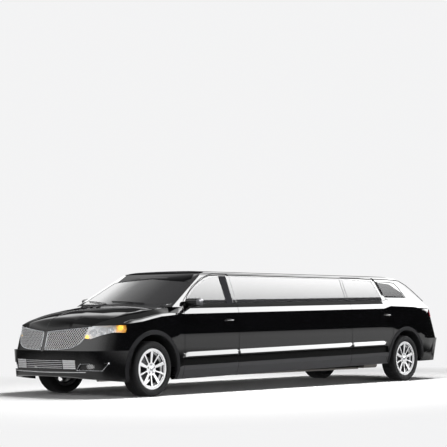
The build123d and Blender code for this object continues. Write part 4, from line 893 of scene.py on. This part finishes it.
def headlamp(side, sign):
    """Clear lens, bright bucket, reflector bowls and the amber corner of one headlamp."""
    across, out = corner_frame(sign)
    datum = Vector((LAMP_DATUM[0], sign * LAMP_DATUM[1], 0))
    bm = merged("headlamps")
    bmesh.ops.delete(bm, geom=[f for f in bm.faces if f.calc_center_median().y * sign < 0], context="FACES")
    bmesh.ops.delete(bm, geom=[v for v in bm.verts if not v.link_faces], context="VERTS")
    split_at(bm, datum + across * AMBER_FROM, across)
    bm.normal_update()
    for face in bm.faces:
        shown = face.normal.dot(out) > 0.25 or face.normal.x > 0.5
        amber = (face.calc_center_median() - datum).dot(across) > AMBER_FROM
        face.material_index = (1 if amber else 0) if shown else 2
    finishes = [MATERIALS[key] for key in ("clear", "amber_clear", "bucket")]
    parts = [from_bmesh(f"headlamp_lens_{side}", bm, finishes, 30)]
    for u, z, radius in ((-0.165, 0.852, 0.040), (-0.055, 0.868, 0.042), (0.055, 0.885, 0.036)):
        middle = corner_point(sign, u, z, 0.034)
        bowl = ((0.0, -0.018), (radius * 0.55, -0.014), (radius * 0.85, -0.004), (radius, 0.010),
                (radius + 0.004, 0.012), (radius + 0.004, 0.006))
        parts.append(revolved("bowl", bowl, middle, out, MATERIALS["chrome"], 40))
        parts.append(revolved("bulb", BULB, middle, out, MATERIALS["white_lens"], 24))
    for u, z, size in ((0.185, 0.918, 0.026), (-0.252, 0.797, 0.020)):
        turn = ((0.0, 0.014), (size, 0.010), (size * 1.5, -0.004), (size * 1.5, -0.016))
        parts.append(revolved("turn", turn, corner_point(sign, u, z, 0.024), out, MATERIALS["lit_amber"], 24))
    return joined(f"headlamp_{side}", parts)


TAIL_FOOT, TAIL_TALL = 1.052, 0.128     # lowest level and height of the tail lens


def tail_lens(side, sign):
    """The red lens that wraps round the rear corner."""
    nodes = ("side_panels", "rear_bumper", "tail_lamps", "tailgate")
    aim = Vector((0.6, -sign * 0.8, 0))
    bm = bmesh.new()
    rows = []
    for i in range(7):
        row = []
        for j in range(6):
            z = TAIL_FOOT + TAIL_TALL * j / 5
            start = Vector((front(6.76 + 0.19 * i / 6 + 0.03 * j / 5), sign * 0.86, z)) - aim * 2
            hit = cast(nodes, start, aim)
            row.append(hit and bm.verts.new(hit - aim * 0.006))
        rows.append(row)
    for a, b in zip(rows, rows[1:]):
        for k in range(5):
            corners = (a[k], a[k + 1], b[k + 1], b[k])
            if all(corners):
                turned(bm.faces.new(corners), -aim)
    for vert in [v for v in bm.verts if not v.link_faces]:
        bm.verts.remove(vert)
    return from_bmesh(f"tail_lens_{side}", bm, MATERIALS["red"], 40)


# The flat glasshouse side: height and half-width of its foot, and how far it leans in for each metre of height.
HOUSE_FOOT, HOUSE_HALF, HOUSE_LEAN = 1.19, 0.925, 0.391


def house_y(z):
    """Half-width of the glasshouse side at a height."""
    return HOUSE_HALF - HOUSE_LEAN * (z - HOUSE_FOOT)


def cover(name, corners, material, sign, proud=0.0012):
    """A thin sheet on the glasshouse side over a four-cornered place, drawn as (behind the front axle, z)."""
    bm = bmesh.new()
    verts = [bm.verts.new((front(behind), sign * (house_y(z) + proud * 0.93), z + proud * 0.37))
             for behind, z in corners]
    turned(bm.faces.new(verts), Vector((0, sign, 0)))
    return from_bmesh(name, bm, material)


# Covers on the pillars: name, body, finish and corners from the top front one round.
COVERS = (
    ("pillar_quarter", "body", "seal", ((5.392, 1.612), (5.456, 1.604), (5.539, 1.385), (5.475, 1.385))),
    ("pillar_front", "front_SIDE_door", "pillar", ((1.540, 1.630), (1.690, 1.632), (1.690, 1.238), (1.550, 1.238))),
    ("pane_front", "front_SIDE_door", "glass", ((1.696, 1.632), (1.759, 1.632), (1.759, 1.238), (1.696, 1.238))),
    ("pane_middle_front", "body", "glass", ((1.770, 1.632), (1.816, 1.632), (1.816, 1.238), (1.770, 1.238))),
    ("pane_middle_rear", "body", "glass", ((4.454, 1.632), (4.508, 1.632), (4.508, 1.288), (4.454, 1.288))),
    ("pane_rear", "rear_SIDE_door", "glass", ((4.518, 1.632), (4.570, 1.632), (4.570, 1.290), (4.518, 1.290))),
)


# Pieces of the moulding along the doors: name, body, and where each starts and ends behind the front axle.
LEDGE_START, LEDGE_END = 0.566, 5.450
LEDGE_PIECES = (("ledge_fender", "body", LEDGE_START, 0.599), ("ledge_front", "front_SIDE_door", 0.608, 1.761),
                ("ledge_middle", "body", 1.770, 4.508), ("ledge_rear", "rear_SIDE_door", 4.517, LEDGE_END))
LEDGE_NOSE, LEDGE_TAIL = 0.11, 0.085    # lengths over which the moulding grows and dies away
LEDGE_ROOT, LEDGE_FOOT = 0.940, 0.4885  # half-width of its root, and its lowest level
REAR_SHUT, PINCH = 4.5125, 0.035        # where it is drawn in for the rear door to swing clear, and how far round
# The moulding's section: distance out from the centre plane and height over the front axle.
LEDGE_SECTION = ((0.940, 0.4885), (0.962, 0.4895), (0.9745, 0.4925), (0.9795, 0.4965), (0.9800, 0.499), (0.9795, 0.507),
                 (0.9780, 0.516), (0.9750, 0.529), (0.9712, 0.543), (0.9668, 0.558), (0.9650, 0.564), (0.9605, 0.5705),
                 (0.952, 0.575), (0.940, 0.576))


def ledge(name, start, end, sign):
    """One piece of the moulding along the doors, drawn in roundly at its outer ends."""
    stops = [start + (end - start) * k / 24 for k in range(25)]
    stops += [LEDGE_START + LEDGE_NOSE * t for t in (0.02, 0.06, 0.13, 0.25, 0.4, 0.6, 0.8)]
    stops += [LEDGE_END - LEDGE_TAIL * t for t in (0.01, 0.04, 0.1, 0.2, 0.32, 0.5, 0.75)]
    stops += [4.478, 4.49, 4.53, 4.547]
    stops = sorted(s for s in set(stops) if start <= s <= end)
    bm = bmesh.new()
    rows = []
    for behind in stops:
        ahead = min(1, max(0, (behind - LEDGE_START) / LEDGE_NOSE))
        after = min(1, max(0, (LEDGE_END - behind) / LEDGE_TAIL))
        grow = math.sqrt(max(1e-4, 1 - (1 - ahead) ** 2))
        tall = grow * (0.25 + 0.75 * math.sqrt(max(0, 1 - (1 - after) ** 2)))
        deep = math.sqrt(max(1e-4, 1 - (1 - after) ** 2)) * grow
        pinch = max(0, 1 - abs(behind - REAR_SHUT) / PINCH)
        row = []
        for y, z in LEDGE_SECTION:
            out = LEDGE_ROOT + (y - LEDGE_ROOT) * (0.3 + 0.7 * deep) * (1 - 0.5 * pinch)
            row.append(bm.verts.new((front(behind), sign * out, LEDGE_FOOT + (z - LEDGE_FOOT) * tall + RISE * behind)))
        rows.append(row)
    skinned(bm, rows)
    bm.faces.new(rows[0])
    bm.faces.new(rows[-1])
    bmesh.ops.recalc_face_normals(bm, faces=bm.faces[:])
    return from_bmesh(name, bm, MATERIALS["paint"], 50)


# Seals along the window frames: name, body, and places (behind the front axle, height). Doors' bodies have
# SIDE where left or right goes.
SIDE_TRIM = (
    ("frame_front", "front_SIDE_door", ((0.676, 1.262), (0.745, 1.338), (0.818, 1.398), (0.905, 1.4525), (0.990, 1.501),
                                        (1.085, 1.548), (1.205, 1.597), (1.350, 1.6365), (1.550, 1.646),
                                        (1.755, 1.650))),
    ("frame_middle", "body", ((1.768, 1.650), (3.0, 1.650), (4.505, 1.650))),
    ("frame_rear", "rear_SIDE_door", ((4.519, 1.650), (5.0, 1.650), (5.330, 1.641))),
    ("frame_pillar", "body", ((5.405, 1.650), (5.750, 1.648), (6.000, 1.640), (6.110, 1.626), (6.270, 1.562),
                              (6.400, 1.480), (6.550, 1.372), (6.640, 1.300))),
    ("frame_quarter", "body", ((5.539, 1.372), (5.456, 1.606), (5.800, 1.603), (5.948, 1.588), (6.030, 1.518),
                               (6.092, 1.437), (6.165, 1.362), (5.539, 1.372))),
)


def house_line(name, places, radius, material, sign):
    """A bar that follows places on the glasshouse side."""
    points = []
    for (ab, az), (bb, bz) in zip(places, places[1:]):
        steps = max(1, int(abs(bb - ab) / 0.25))
        points += [(ab + (bb - ab) * k / steps, az + (bz - az) * k / steps) for k in range(steps)]
    points.append(places[-1])
    line = [(front(b), sign * (house_y(z) - max(0, z - 1.638) * 0.55), z) for b, z in points]
    return tube(name, line, radius, material, sides=6)


def side_trim(row, side, sign):
    """One seal of the window frames."""
    name, body, places = row
    obj = house_line(f"{name}_{side}", places, 0.0055, MATERIALS["seal"], sign)
    return ride(obj, body.replace("SIDE", side))


# Door handles: name, body, door, distance behind the front axle, height and length.
HANDLES = (("handle_front", "front_SIDE_door", "door_front_SIDE", 1.535, 1.005, 0.20),
           ("handle_rear", "rear_SIDE_door", "door_rear_SIDE", 5.475, 1.070, 0.19))


def handle(row, side, sign):
    """A pull handle standing off its door, with a near-black cup behind it, painted shade in the handle's recess."""
    name, body, door, behind, z, length = row
    nodes = (door.replace("SIDE", side),)
    y = side_point(nodes, front(behind), z, sign).y
    points = []
    for k in range(9):
        t = k / 8
        reach = 0.002 + 0.024 * math.sin(math.pi * t) ** 0.6
        points.append((front(behind) + length * (0.5 - t), y + sign * reach, z + 0.004 * (t - 0.5)))
    bar = tube("bar", points, 0.0085, MATERIALS["paint"])
    # The cup is painted shade: a thin near-black sheet in the recess.
    cup = rounded_box("cup", (front(behind) - 0.055, min(y - 0.004, y + 0.002), z - 0.026),
                      (front(behind) + 0.055, max(y - 0.004, y + 0.002), z + 0.026), 0.0019, MATERIALS["seal"])
    return ride(joined(f"{name}_{side}", [bar, cup]), body.replace("SIDE", side))


def mirror_shell(side, sign):
    """The door mirror: rounded housing, stem, bright cap and glass."""
    low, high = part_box(f"mirror_{side}")
    outer, inner = max(abs(low[1]), abs(high[1])) + 0.022, 0.925
    bm = bmesh.new()
    middle = 1.254
    near, far = sorted((sign * inner, sign * outer))
    block(bm, (low[0], near, middle - 0.064), (high[0], far, middle + 0.064))
    bevelled(bm, 0.03)
    for vert in bm.verts:
        away = (abs(vert.co.y) - inner) / (outer - inner)
        nose = (vert.co.x - low[0]) / (high[0] - low[0])
        vert.co.z = middle + (vert.co.z - middle) * (1 - 0.30 * nose ** 2 - 0.12 * away ** 3)
        vert.co.x += 0.03 * (1 - away) * nose - 0.03 * away ** 2 * nose - 0.045
    for face in bm.faces:
        place = face.calc_center_median()
        face.material_index = 1 if abs(place.y) > outer - 0.028 and place.z > 1.22 else 0
    shell = from_bmesh("shell", bm, (MATERIALS["paint"], MATERIALS["mirror_cap"]), 40)
    near, far = sorted((sign * (inner + 0.018), sign * (outer - 0.022)))
    glass = rounded_box("glass", (low[0] - 0.046, near, 1.206), (low[0] - 0.041, far, 1.300), 0.0015,
                        MATERIALS["mirror"])
    x = front(0.69)
    base = side_point((f"door_front_{side}",), x, 1.17, sign)
    stem = tube("stem", [(x, base.y - sign * 0.02, 1.165), (x, sign * 0.955, 1.19), (x, sign * 0.985, 1.215)], 0.021,
                MATERIALS["paint"])
    there = Matrix.Translation((x, 0, 0))
    stem.data.transform(there @ Matrix.Diagonal((1.6, 1, 1, 1)) @ there.inverted())
    return ride(joined(f"mirror_shell_{side}", [shell, glass, stem]), f"front_{side}_door", f"mirror_{side}")


# Wipers: name, and y of the pivot and of the blade's tip.
WIPERS = (("wiper_left", 0.42, -0.22), ("wiper_right", -0.30, -0.74))


def wiper(name, pivot_y, tip_y):
    """One parked wiper: arm and blade, lying along the foot of the windshield."""
    def on_glass(y, lift):
        for step in range(40):
            foot = front_point(("windshield",), y, 1.225 + 0.002 * step, 0)
            if foot is not None:
                return front_point(("windshield",), y, foot.z + lift, 0.008)
        raise RuntimeError("No windshield at y " + str(y))

    places = [pivot_y + (tip_y - pivot_y) * k / 6 for k in range(7)]
    points = [on_glass(y, 0.008 + 0.004 * k) for k, y in enumerate(places)]
    arm = tube("arm", points[:4], 0.0045, MATERIALS["seal"])
    blade = tube("blade", [p + Vector((0, 0, 0.003)) for p in points[2:]], 0.006, MATERIALS["seal"])
    return ride(joined(name, [arm, blade]), "body")


# ---------------------------------------------------------------- cabin
def cushion(name, low, high, material, crown=0.03, cuts=8):
    """A padded block: faces crowned, sides drawn in between the corners."""
    bm = bmesh.new()
    size = Vector([b - a for a, b in zip(low, high)])
    middle = Vector([(a + b) / 2 for a, b in zip(low, high)])
    bmesh.ops.create_cube(bm, size=2)
    bmesh.ops.subdivide_edges(bm, edges=bm.edges[:], cuts=cuts, use_grid_fill=True)
    for vert in bm.verts:
        x, y, z = vert.co
        soft = Vector((x * math.sqrt(max(0, 1 - y * y / 2 - z * z / 2 + y * y * z * z / 3)),
                       y * math.sqrt(max(0, 1 - z * z / 2 - x * x / 2 + z * z * x * x / 3)),
                       z * math.sqrt(max(0, 1 - x * x / 2 - y * y / 2 + x * x * y * y / 3))))
        square = Vector((x, y, z)) * (1 - crown)
        vert.co = middle + Vector([c * s / 2 for c, s in zip(square.lerp(soft, 0.16), size)])
    return from_bmesh(name, bm, material, 60)


def leaning(low, high, material, foot, lean):
    """A back cushion built upright at the origin, leant back and put in place."""
    back = cushion("back", low, high, material)
    back.data.transform(Matrix.Translation(foot) @ Matrix.Rotation(-lean, 4, "Y"))
    return back


def front_seat(side, sign):
    """Base, cushion, back and headrest of a front seat."""
    parts = [rounded_box("base", (front(1.62), min(sign * 0.22, sign * 0.65), 0.323),
                         (front(1.16), max(sign * 0.22, sign * 0.65), 0.50), 0.02, MATERIALS["grey"])]
    y0, y1 = sorted((sign * 0.18, sign * 0.69))
    parts.append(cushion("pad", (front(1.62), y0, 0.47), (front(1.11), y1, 0.64), MATERIALS["leather"]))
    parts.append(leaning((-0.09, y0, 0.0), (0.09, y1, 0.68), MATERIALS["leather"], (front(1.62), 0, 0.56), 0.17))
    mid = (y0 + y1) / 2
    parts.append(cushion("rest", (front(1.79), mid - 0.14, 1.275), (front(1.69), mid + 0.14, 1.41),
                         MATERIALS["leather"]))
    for y in (mid - 0.05, mid + 0.05):
        parts.append(tube("posts", [(front(1.73), y, 1.20), (front(1.73), y, 1.30)], 0.008, MATERIALS["chrome"]))
    return joined(f"front_seat_{side}", parts)


def lounge():
    """The long side bench and the rear bench, in separate pads."""
    light, black = MATERIALS["leather_light"], MATERIALS["black"]
    parts = []
    count = 4
    length = 2.05 / count
    for k in range(count):
        high_x, low_x = front(2.25) - k * length, front(2.25) - (k + 1) * length
        lift = RISE * (FRONT_X - (high_x + low_x) / 2)
        parts.append(rounded_box("plinth", (low_x, -0.765, 0.306 + lift), (high_x, -0.42, 0.54 + lift), 0.01, black))
        parts.append(cushion("seat", (low_x, -0.72, 0.53 + lift), (high_x, -0.385, 0.69 + lift), light))
        parts.append(cushion("back", (low_x, -0.835, 0.66 + lift), (high_x, -0.70, 1.09 + lift), light))
    for k in range(3):
        y0, y1 = -0.75 + 0.5 * k, -0.25 + 0.5 * k
        parts.append(rounded_box("plinth", (rear(-0.73), y0, 0.395), (rear(-1.15), y1, 0.62), 0.01, black))
        parts.append(cushion("seat", (rear(-0.80), y0, 0.60), (rear(-1.19), y1, 0.765), light))
        parts.append(leaning((-0.07, y0, 0.0), (0.07, y1, 0.62), light, (rear(-0.78), 0, 0.68), 0.19))
    return joined("lounge_benches", parts)


def steering():
    """Rim, spokes and column of the steering wheel."""
    centre = Vector((front(0.88), 0.43, 1.03))
    axis = Vector((1, 0, -0.3)).normalized()
    across = Vector((0, 1, 0))
    up = axis.cross(across).normalized()
    if up.z < 0:
        up = -up
    ring = [centre + (across * math.cos(a) + up * math.sin(a)) * 0.185 for a in np.linspace(0, 2 * math.pi, 49)[:-1]]
    parts = [tube("rim", ring, 0.0155, MATERIALS["leather"], closed=True)]
    parts.append(revolved("hub", ((0, -0.03), (0.05, -0.026), (0.062, -0.01), (0.062, 0.012), (0, 0.016)), centre, axis,
                          MATERIALS["black"], 32))
    for direction in (across, -across, -up):
        parts.append(tube("spoke", [centre + direction * 0.05, centre + direction * 0.178], 0.011, MATERIALS["satin"]))
    parts.append(tube("column", [centre, centre + axis * 0.165], 0.026, MATERIALS["black"]))
    return joined("steering_wheel_rim", parts)


# ---------------------------------------------------------------- stage
# Brightness of the floor in the paint's reflections, over the distance from the car in metres: a painted reflection
# with light and dark zones, darker next to the car where its shadow would lie.
PAINTED_FLOOR_REFLECTIONS = ((0.0, 0.30), (0.6, 0.55), (1.3, 0.75), (1.9, 0.40), (2.6, 0.06), (4.5, 0.06), (9.0, 0.80), (40.0, 0.85),
                (150.0, 0.55))
FLOOR_REACH = 150.0
CAR_HALF = (4.2, 0.95, 0)    # from the middle of the car to its sides, which distances count from
FLOOR_FADE = (1.2, 5.0)      # where the floor begins to be lost in the backdrop, and where it is


def floor_material(look):
    """A pale floor, lost in the backdrop far away; in the paint's reflections it shows painted dark and light zones in
    place of its lit colour.
    """
    material, tree, shader = node_material("pale_floor")
    set_inputs(shader, {"Roughness": 0.9, "Specular IOR Level": 0.0, "Emission Strength": 1.0})
    away = add_node(tree, "ShaderNodeTexCoord").outputs["Object"]
    for operation, limit in (("ABSOLUTE", None), ("SUBTRACT", CAR_HALF), ("MAXIMUM", (0, 0, 0))):
        inputs = [(0, away)] + ([(1, limit)] if limit else [])
        away = add_node(tree, "ShaderNodeVectorMath", *inputs, operation=operation).outputs[0]
    away = add_node(tree, "ShaderNodeVectorMath", (0, away), operation="LENGTH").outputs["Value"]
    path = add_node(tree, "ShaderNodeLightPath").outputs
    glossy, camera = path["Is Glossy Ray"], path["Is Camera Ray"]
    # Painted reflection: glossy rays see a black floor with this glow by distance.
    mirror = ramp(tree, maths(tree, "DIVIDE", away, FLOOR_REACH, clamp=True), PAINTED_FLOOR_REFLECTIONS, reach=FLOOR_REACH)
    far = add_node(tree, "ShaderNodeMapRange", ("From Min", FLOOR_FADE[0]), ("From Max", FLOOR_FADE[1]),
                   ("Value", away), interpolation_type="SMOOTHSTEP")
    lost = maths(tree, "MULTIPLY", far.outputs["Result"], camera)
    ground = mixed(tree, lost, mixed(tree, glossy, (*look.floor, 1), BLACK), BLACK)
    glow = mixed(tree, lost, BLACK, (*look.backdrop, 1))
    tree.links.new(ground, shader.inputs["Base Color"])
    tree.links.new(mixed(tree, glossy, glow, mirror), shader.inputs["Emission Color"])
    return material


# What the paint and glass reflect: sine of the elevation and brightness, on the left, on the right and ahead.
SKY_LEFT = ((0.0, 0.015), (0.15, 0.02), (0.20, 12.0), (0.52, 12.0), (0.62, 9.0), (0.66, 3.0), (1.0, 1.0))
SKY_RIGHT = ((0.0, 0.03), (0.08, 0.05), (0.12, 0.5), (0.20, 0.5), (0.26, 0.12), (0.405, 0.12), (0.435, 4.0),
             (0.50, 4.5), (0.58, 1.2), (0.68, 0.15), (1.0, 0.2))
SKY_AHEAD = ((0.0, 0.02), (0.10, 0.05), (0.22, 0.5), (0.34, 1.6), (0.46, 2.2), (0.60, 1.0), (0.80, 0.3), (1.0, 0.3))
SKY_PEAK = 12.0


def blended(tree, value, low, high, first, second):
    """The first colour below low, the second over high, and a soft change between them."""
    share = add_node(tree, "ShaderNodeMapRange", ("From Min", low), ("From Max", high), ("Value", value),
                     interpolation_type="SMOOTHSTEP")
    return mixed(tree, share.outputs["Result"], first, second)


def build_world(look):
    """Soft light all round, with a dark horizon and bright bands for the paint to reflect."""
    world = bpy.data.worlds.new("Soft sky")
    bpy.context.scene.world = world
    world.use_nodes = True
    tree = world.node_tree
    place = add_node(tree, "ShaderNodeTexCoord").outputs["Generated"]
    split = add_node(tree, "ShaderNodeSeparateXYZ", (0, place)).outputs
    left, right, ahead = (ramp(tree, split["Z"], stops, SKY_PEAK) for stops in (SKY_LEFT, SKY_RIGHT, SKY_AHEAD))
    sideways = blended(tree, split["Y"], -0.25, 0.0, right, left)
    sky = blended(tree, split["X"], -0.55, -0.15, sideways, ahead)
    peak = add_node(tree, "ShaderNodeVectorMath", (0, sky), ("Scale", SKY_PEAK), operation="SCALE").outputs[0]
    path = add_node(tree, "ShaderNodeLightPath").outputs
    soft = mixed(tree, path["Is Glossy Ray"], grey(look.fill), peak)
    seen = mixed(tree, path["Is Camera Ray"], soft, (*look.backdrop, 1))
    tree.links.new(seen, tree.nodes["Background"].inputs["Color"])


def area_light(name, place, target, size, power):
    """A soft rectangular lamp aimed at a target."""
    lamp = bpy.data.lights.new(name, "AREA")
    lamp.shape = "RECTANGLE"
    lamp.size, lamp.size_y = size
    lamp.energy = power
    obj = link(bpy.data.objects.new(name, lamp))
    obj.location = place
    obj.rotation_euler = (Vector(target) - Vector(place)).to_track_quat("-Z", "Y").to_euler()
    obj.visible_glossy = False


RENDER_SIZE = 447            # pixels along each side


def build_camera(stage):
    """The camera where the stage's settings put it, and a square render."""
    data = bpy.data.cameras.new("Camera")
    data.lens = stage.lens
    data.sensor_width = 36
    data.clip_end = 200
    camera = link(bpy.data.objects.new("Camera", data))
    camera.location = stage.camera_place
    yaw, pitch = stage.camera_yaw, stage.camera_pitch
    forward = Vector((math.cos(pitch) * math.cos(yaw), math.cos(pitch) * math.sin(yaw), math.sin(pitch)))
    camera.rotation_euler = forward.to_track_quat("-Z", "Y").to_euler()
    scene = bpy.context.scene
    scene.camera = camera
    scene.render.resolution_x = scene.render.resolution_y = RENDER_SIZE
    scene.view_settings.view_transform = "Standard"
    scene.view_settings.exposure = stage.exposure


# ---------------------------------------------------------------- settings
class LimousineLook(bpy.types.PropertyGroup):
    """Colours and finishes that a user would change."""
    paint: FloatVectorProperty(name="Paint", description="Body colour", subtype="COLOR",
                               default=(0.0015, 0.0015, 0.0018))
    coat_ior: FloatProperty(name="Coat IOR", description="Strength of the paint's reflections", default=1.6, min=1.3,
                            max=2.5)
    cladding: FloatVectorProperty(name="Cladding", description="Sill and wheel-arch colour", subtype="COLOR",
                                  default=(0.032, 0.032, 0.034))
    alloy: FloatVectorProperty(name="Alloy", description="Wheel colour", subtype="COLOR", default=(0.80, 0.80, 0.81))
    side_glass: FloatVectorProperty(name="Side glass", description="Tint of the side windows", subtype="COLOR",
                                    default=(0.010, 0.010, 0.011))
    glass_gloss: FloatProperty(name="Glass gloss", description="Strength of the side windows' reflections", default=1.0,
                               min=0, max=1, subtype="FACTOR")
    windshield: FloatVectorProperty(name="Windshield", description="Colour of the windshield and hatch glass",
                                    subtype="COLOR", default=(0.006, 0.006, 0.007))
    floor: FloatVectorProperty(name="Floor", description="Floor colour", subtype="COLOR", default=(0.80, 0.80, 0.80))
    backdrop: FloatVectorProperty(name="Backdrop", description="Colour behind the floor", subtype="COLOR",
                                  default=(0.90, 0.90, 0.905))
    fill: FloatProperty(name="Fill", description="Brightness of the light from all round", default=0.10, min=0, max=3)


class LimousineSizes(bpy.types.PropertyGroup):
    """Sizes of the scene's own pieces."""
    mesh_pitch: FloatProperty(name="Mesh pitch", description="Distance between the grille's wires", default=0.033,
                              min=0.01, max=0.06, unit="LENGTH")
    wire: FloatProperty(name="Wire radius", description="Radius of the grille's wires", default=0.0030, min=0.001,
                        max=0.006, unit="LENGTH")
    ribs: IntProperty(name="Ribs", description="Bars of the lower grille", default=5, min=3, max=20)


class LimousineStage(bpy.types.PropertyGroup):
    """The camera's lens, place, direction and exposure."""
    lens: FloatProperty(name="Lens", description="Focal length on a 36 mm sensor", default=121.9, min=20, max=400)
    camera_place: FloatVectorProperty(name="Camera place", description="Where the camera stands", unit="LENGTH",
                                      default=(17.8545, 14.632, 1.128))
    camera_yaw: FloatProperty(name="Yaw", description="Direction of view in plan", default=math.radians(-139.81),
                              unit="ROTATION")
    camera_pitch: FloatProperty(name="Pitch", description="Upward tilt of the view", default=math.radians(3.33),
                                unit="ROTATION")
    exposure: FloatProperty(name="Exposure", description="Exposure in stops", default=0.0, min=-3, max=3)


# ---------------------------------------------------------------- operators
# Finishes of the CAD nodes that stay shown.
SHOWN = {"headlamps": "bucket", "lower_grille": "paint", "fog_lamps": "clear", "tail_lamps": "red",
         "tailgate_lamp": "red", "front_subframe": "steel", "rear_subframe": "steel", "floor_pan": "black",
         "wheel_liners": "black", "engine": "engine", "radiator": "radiator", "exhaust": "exhaust",
         "dashboard": "grey", "partition": "wood", "bar_cabinet": "wood", "knuckle_left": "steel",
         "knuckle_right": "steel"}


class LIMO_OT_materials(bpy.types.Operator):
    """Make all materials and give them to the CAD nodes that stay shown"""
    bl_idname = "limo.materials"
    bl_label = "Materials"

    def execute(self, context):
        make_materials(context.scene.limo_look)
        for node, finish in SHOWN.items():
            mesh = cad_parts[node].data
            mesh.materials.clear()
            mesh.materials.append(MATERIALS[finish])
        return {"FINISHED"}


class LIMO_OT_panels(bpy.types.Operator):
    """Build the smooth painted panels"""
    bl_idname = "limo.panels"
    bl_label = "Painted panels"

    def execute(self, context):
        for node, body, angle in PANELS:
            ride(panel(node, angle), body, node)
        for side, sign in SIDES:
            ride(brow(side, sign), "body")
        ride(hood_ridge(), "hood")
        return {"FINISHED"}


class LIMO_OT_glass(bpy.types.Operator):
    """Build the panes"""
    bl_idname = "limo.glass"
    bl_label = "Glass"

    def execute(self, context):
        for node, body, finish in GLASS:
            ride(glass_panel(node, MATERIALS[finish]), body, node)
        return {"FINISHED"}


class LIMO_OT_wheels(bpy.types.Operator):
    """Build rims, tyres, hubs and brakes"""
    bl_idname = "limo.wheels"
    bl_label = "Wheels"

    def execute(self, context):
        for end, x in ENDS:
            for side, sign in SIDES:
                body = f"{end}_{side}_wheel"
                rim = bright_rim(end, side, sign)
                ride(rim, body, f"rim_{end}_{side}")
                ride(tyre(end, x, side, sign), body, f"tyre_{end}_{side}")
                ride(wheel_details(end, x, side, sign), body)
                ride(brake(end, x, side, sign), f"{side}_knuckle" if end == "front" else "body")
        return {"FINISHED"}


class LIMO_OT_lamps(bpy.types.Operator):
    """Build the headlamps and the tail lenses"""
    bl_idname = "limo.lamps"
    bl_label = "Lamps"

    def execute(self, context):
        for side, sign in SIDES:
            lamp = headlamp(side, sign)
            ride(lamp, "body", *(("headlamps",) if side == "left" else ()))
            ride(tail_lens(side, sign), "body")
        return {"FINISHED"}


class LIMO_OT_grilles(bpy.types.Operator):
    """Build the grilles' wire mesh, rims and ribs"""
    bl_idname = "limo.grilles"
    bl_label = "Grilles"

    def execute(self, context):
        sizes = context.scene.limo_sizes
        ride(grille_bar(), "body")
        ride(chin_lip(), "body")
        for side, sign in SIDES:
            parts = grille_mesh(sign, sizes.mesh_pitch, sizes.wire)
            rim = outline_on_nose(GRILLE_WING, sign, 0.001)
            parts.append(tube("rim", rim, 0.0055, MATERIALS["satin"], closed=True))
            parts.append(grille_back(sign))
            ride(joined(f"grille_wing_{side}", parts), "body", *(("upper_grille",) if side == "left" else ()))
            ride(lower_ribs(side, sign, sizes.ribs), "body")
            fog = [front_point(("front_bumper",), sign * y, z, 0.001) for y, z in FOG_OUTLINE]
            ride(tube(f"fog_rim_{side}", fog, 0.005, MATERIALS["satin"], closed=True), "body")
        return {"FINISHED"}


class LIMO_OT_trim(bpy.types.Operator):
    """Build mouldings, handles, mirrors and wipers"""
    bl_idname = "limo.trim"
    bl_label = "Trim"

    def execute(self, context):
        for side, sign in SIDES:
            for row in SIDE_TRIM:
                side_trim(row, side, sign)
            for row in HANDLES:
                handle(row, side, sign)
            for name, body, finish, corners in COVERS:
                ride(cover(f"{name}_{side}", corners, MATERIALS[finish], sign), body.replace("SIDE", side))
            for name, body, start, end in LEDGE_PIECES:
                ride(ledge(f"{name}_{side}", start, end, sign), body.replace("SIDE", side))
            mirror_shell(side, sign)
        for row in WIPERS:
            wiper(*row)
        return {"FINISHED"}


class LIMO_OT_cabin(bpy.types.Operator):
    """Build the seats and the steering wheel"""
    bl_idname = "limo.cabin"
    bl_label = "Cabin"

    def execute(self, context):
        seats = joined("front_seat_pads", [front_seat(side, sign) for side, sign in SIDES])
        ride(seats, "body", "front_seats")
        benches = lounge()
        ride(benches, "body", "lounge_seats")
        ride(steering(), "body", "steering_wheel")
        return {"FINISHED"}


FLOOR_HALF = 150
# Lamps: name, place, target, size and power in watts.
LIGHTS = (("Overhead", (0, 2.5, 9), (0, 0, 0), (9, 1.0), 1450),
          ("Side key", (4, 14, 2.6), (0, 0, 0.8), (10, 1.5), 800),
          ("Front key", (14, 3, 3.5), (3.5, 0, 0.6), (4, 3), 420))


class LIMO_OT_stage(bpy.types.Operator):
    """Build the floor, sky, lights and camera"""
    bl_idname = "limo.stage"
    bl_label = "Stage"

    def execute(self, context):
        half = FLOOR_HALF
        floor = mesh_object("floor", ((-half, -half, 0), (half, -half, 0), (half, half, 0), (-half, half, 0)),
                            ((0, 1, 2, 3),), MATERIALS["floor"], False)
        build_world(context.scene.limo_look)
        for row in LIGHTS:
            area_light(*row)
        build_camera(context.scene.limo_stage)
        return {"FINISHED"}


STEPS = ("materials", "panels", "glass", "wheels", "lamps", "grilles", "trim", "cabin", "stage")


class LIMO_PT_tools(bpy.types.Panel):
    """The add-on's panel in the sidebar"""
    bl_idname = "LIMO_PT_tools"
    bl_label = "Stretch limousine"
    bl_space_type = "VIEW_3D"
    bl_region_type = "UI"
    bl_category = "Limousine"

    def draw(self, context):
        column = self.layout.column()
        for holder in (context.scene.limo_look, context.scene.limo_sizes, context.scene.limo_stage):
            for key in holder.__annotations__:
                column.prop(holder, key)
        for step in STEPS:
            column.operator(f"limo.{step}")


CLASSES = (LimousineLook, LimousineSizes, LimousineStage, LIMO_OT_materials, LIMO_OT_panels, LIMO_OT_glass,
           LIMO_OT_wheels, LIMO_OT_lamps, LIMO_OT_grilles, LIMO_OT_trim, LIMO_OT_cabin, LIMO_OT_stage, LIMO_PT_tools)


def register():
    for cls in CLASSES:
        bpy.utils.register_class(cls)
    bpy.types.Scene.limo_look = PointerProperty(type=LimousineLook)
    bpy.types.Scene.limo_sizes = PointerProperty(type=LimousineSizes)
    bpy.types.Scene.limo_stage = PointerProperty(type=LimousineStage)


def unregister():
    del bpy.types.Scene.limo_look
    del bpy.types.Scene.limo_sizes
    del bpy.types.Scene.limo_stage
    for cls in reversed(CLASSES):
        bpy.utils.unregister_class(cls)


def main():
    register()
    for step in STEPS:
        getattr(bpy.ops.limo, step)()


if __name__ == "__main__":
    main()
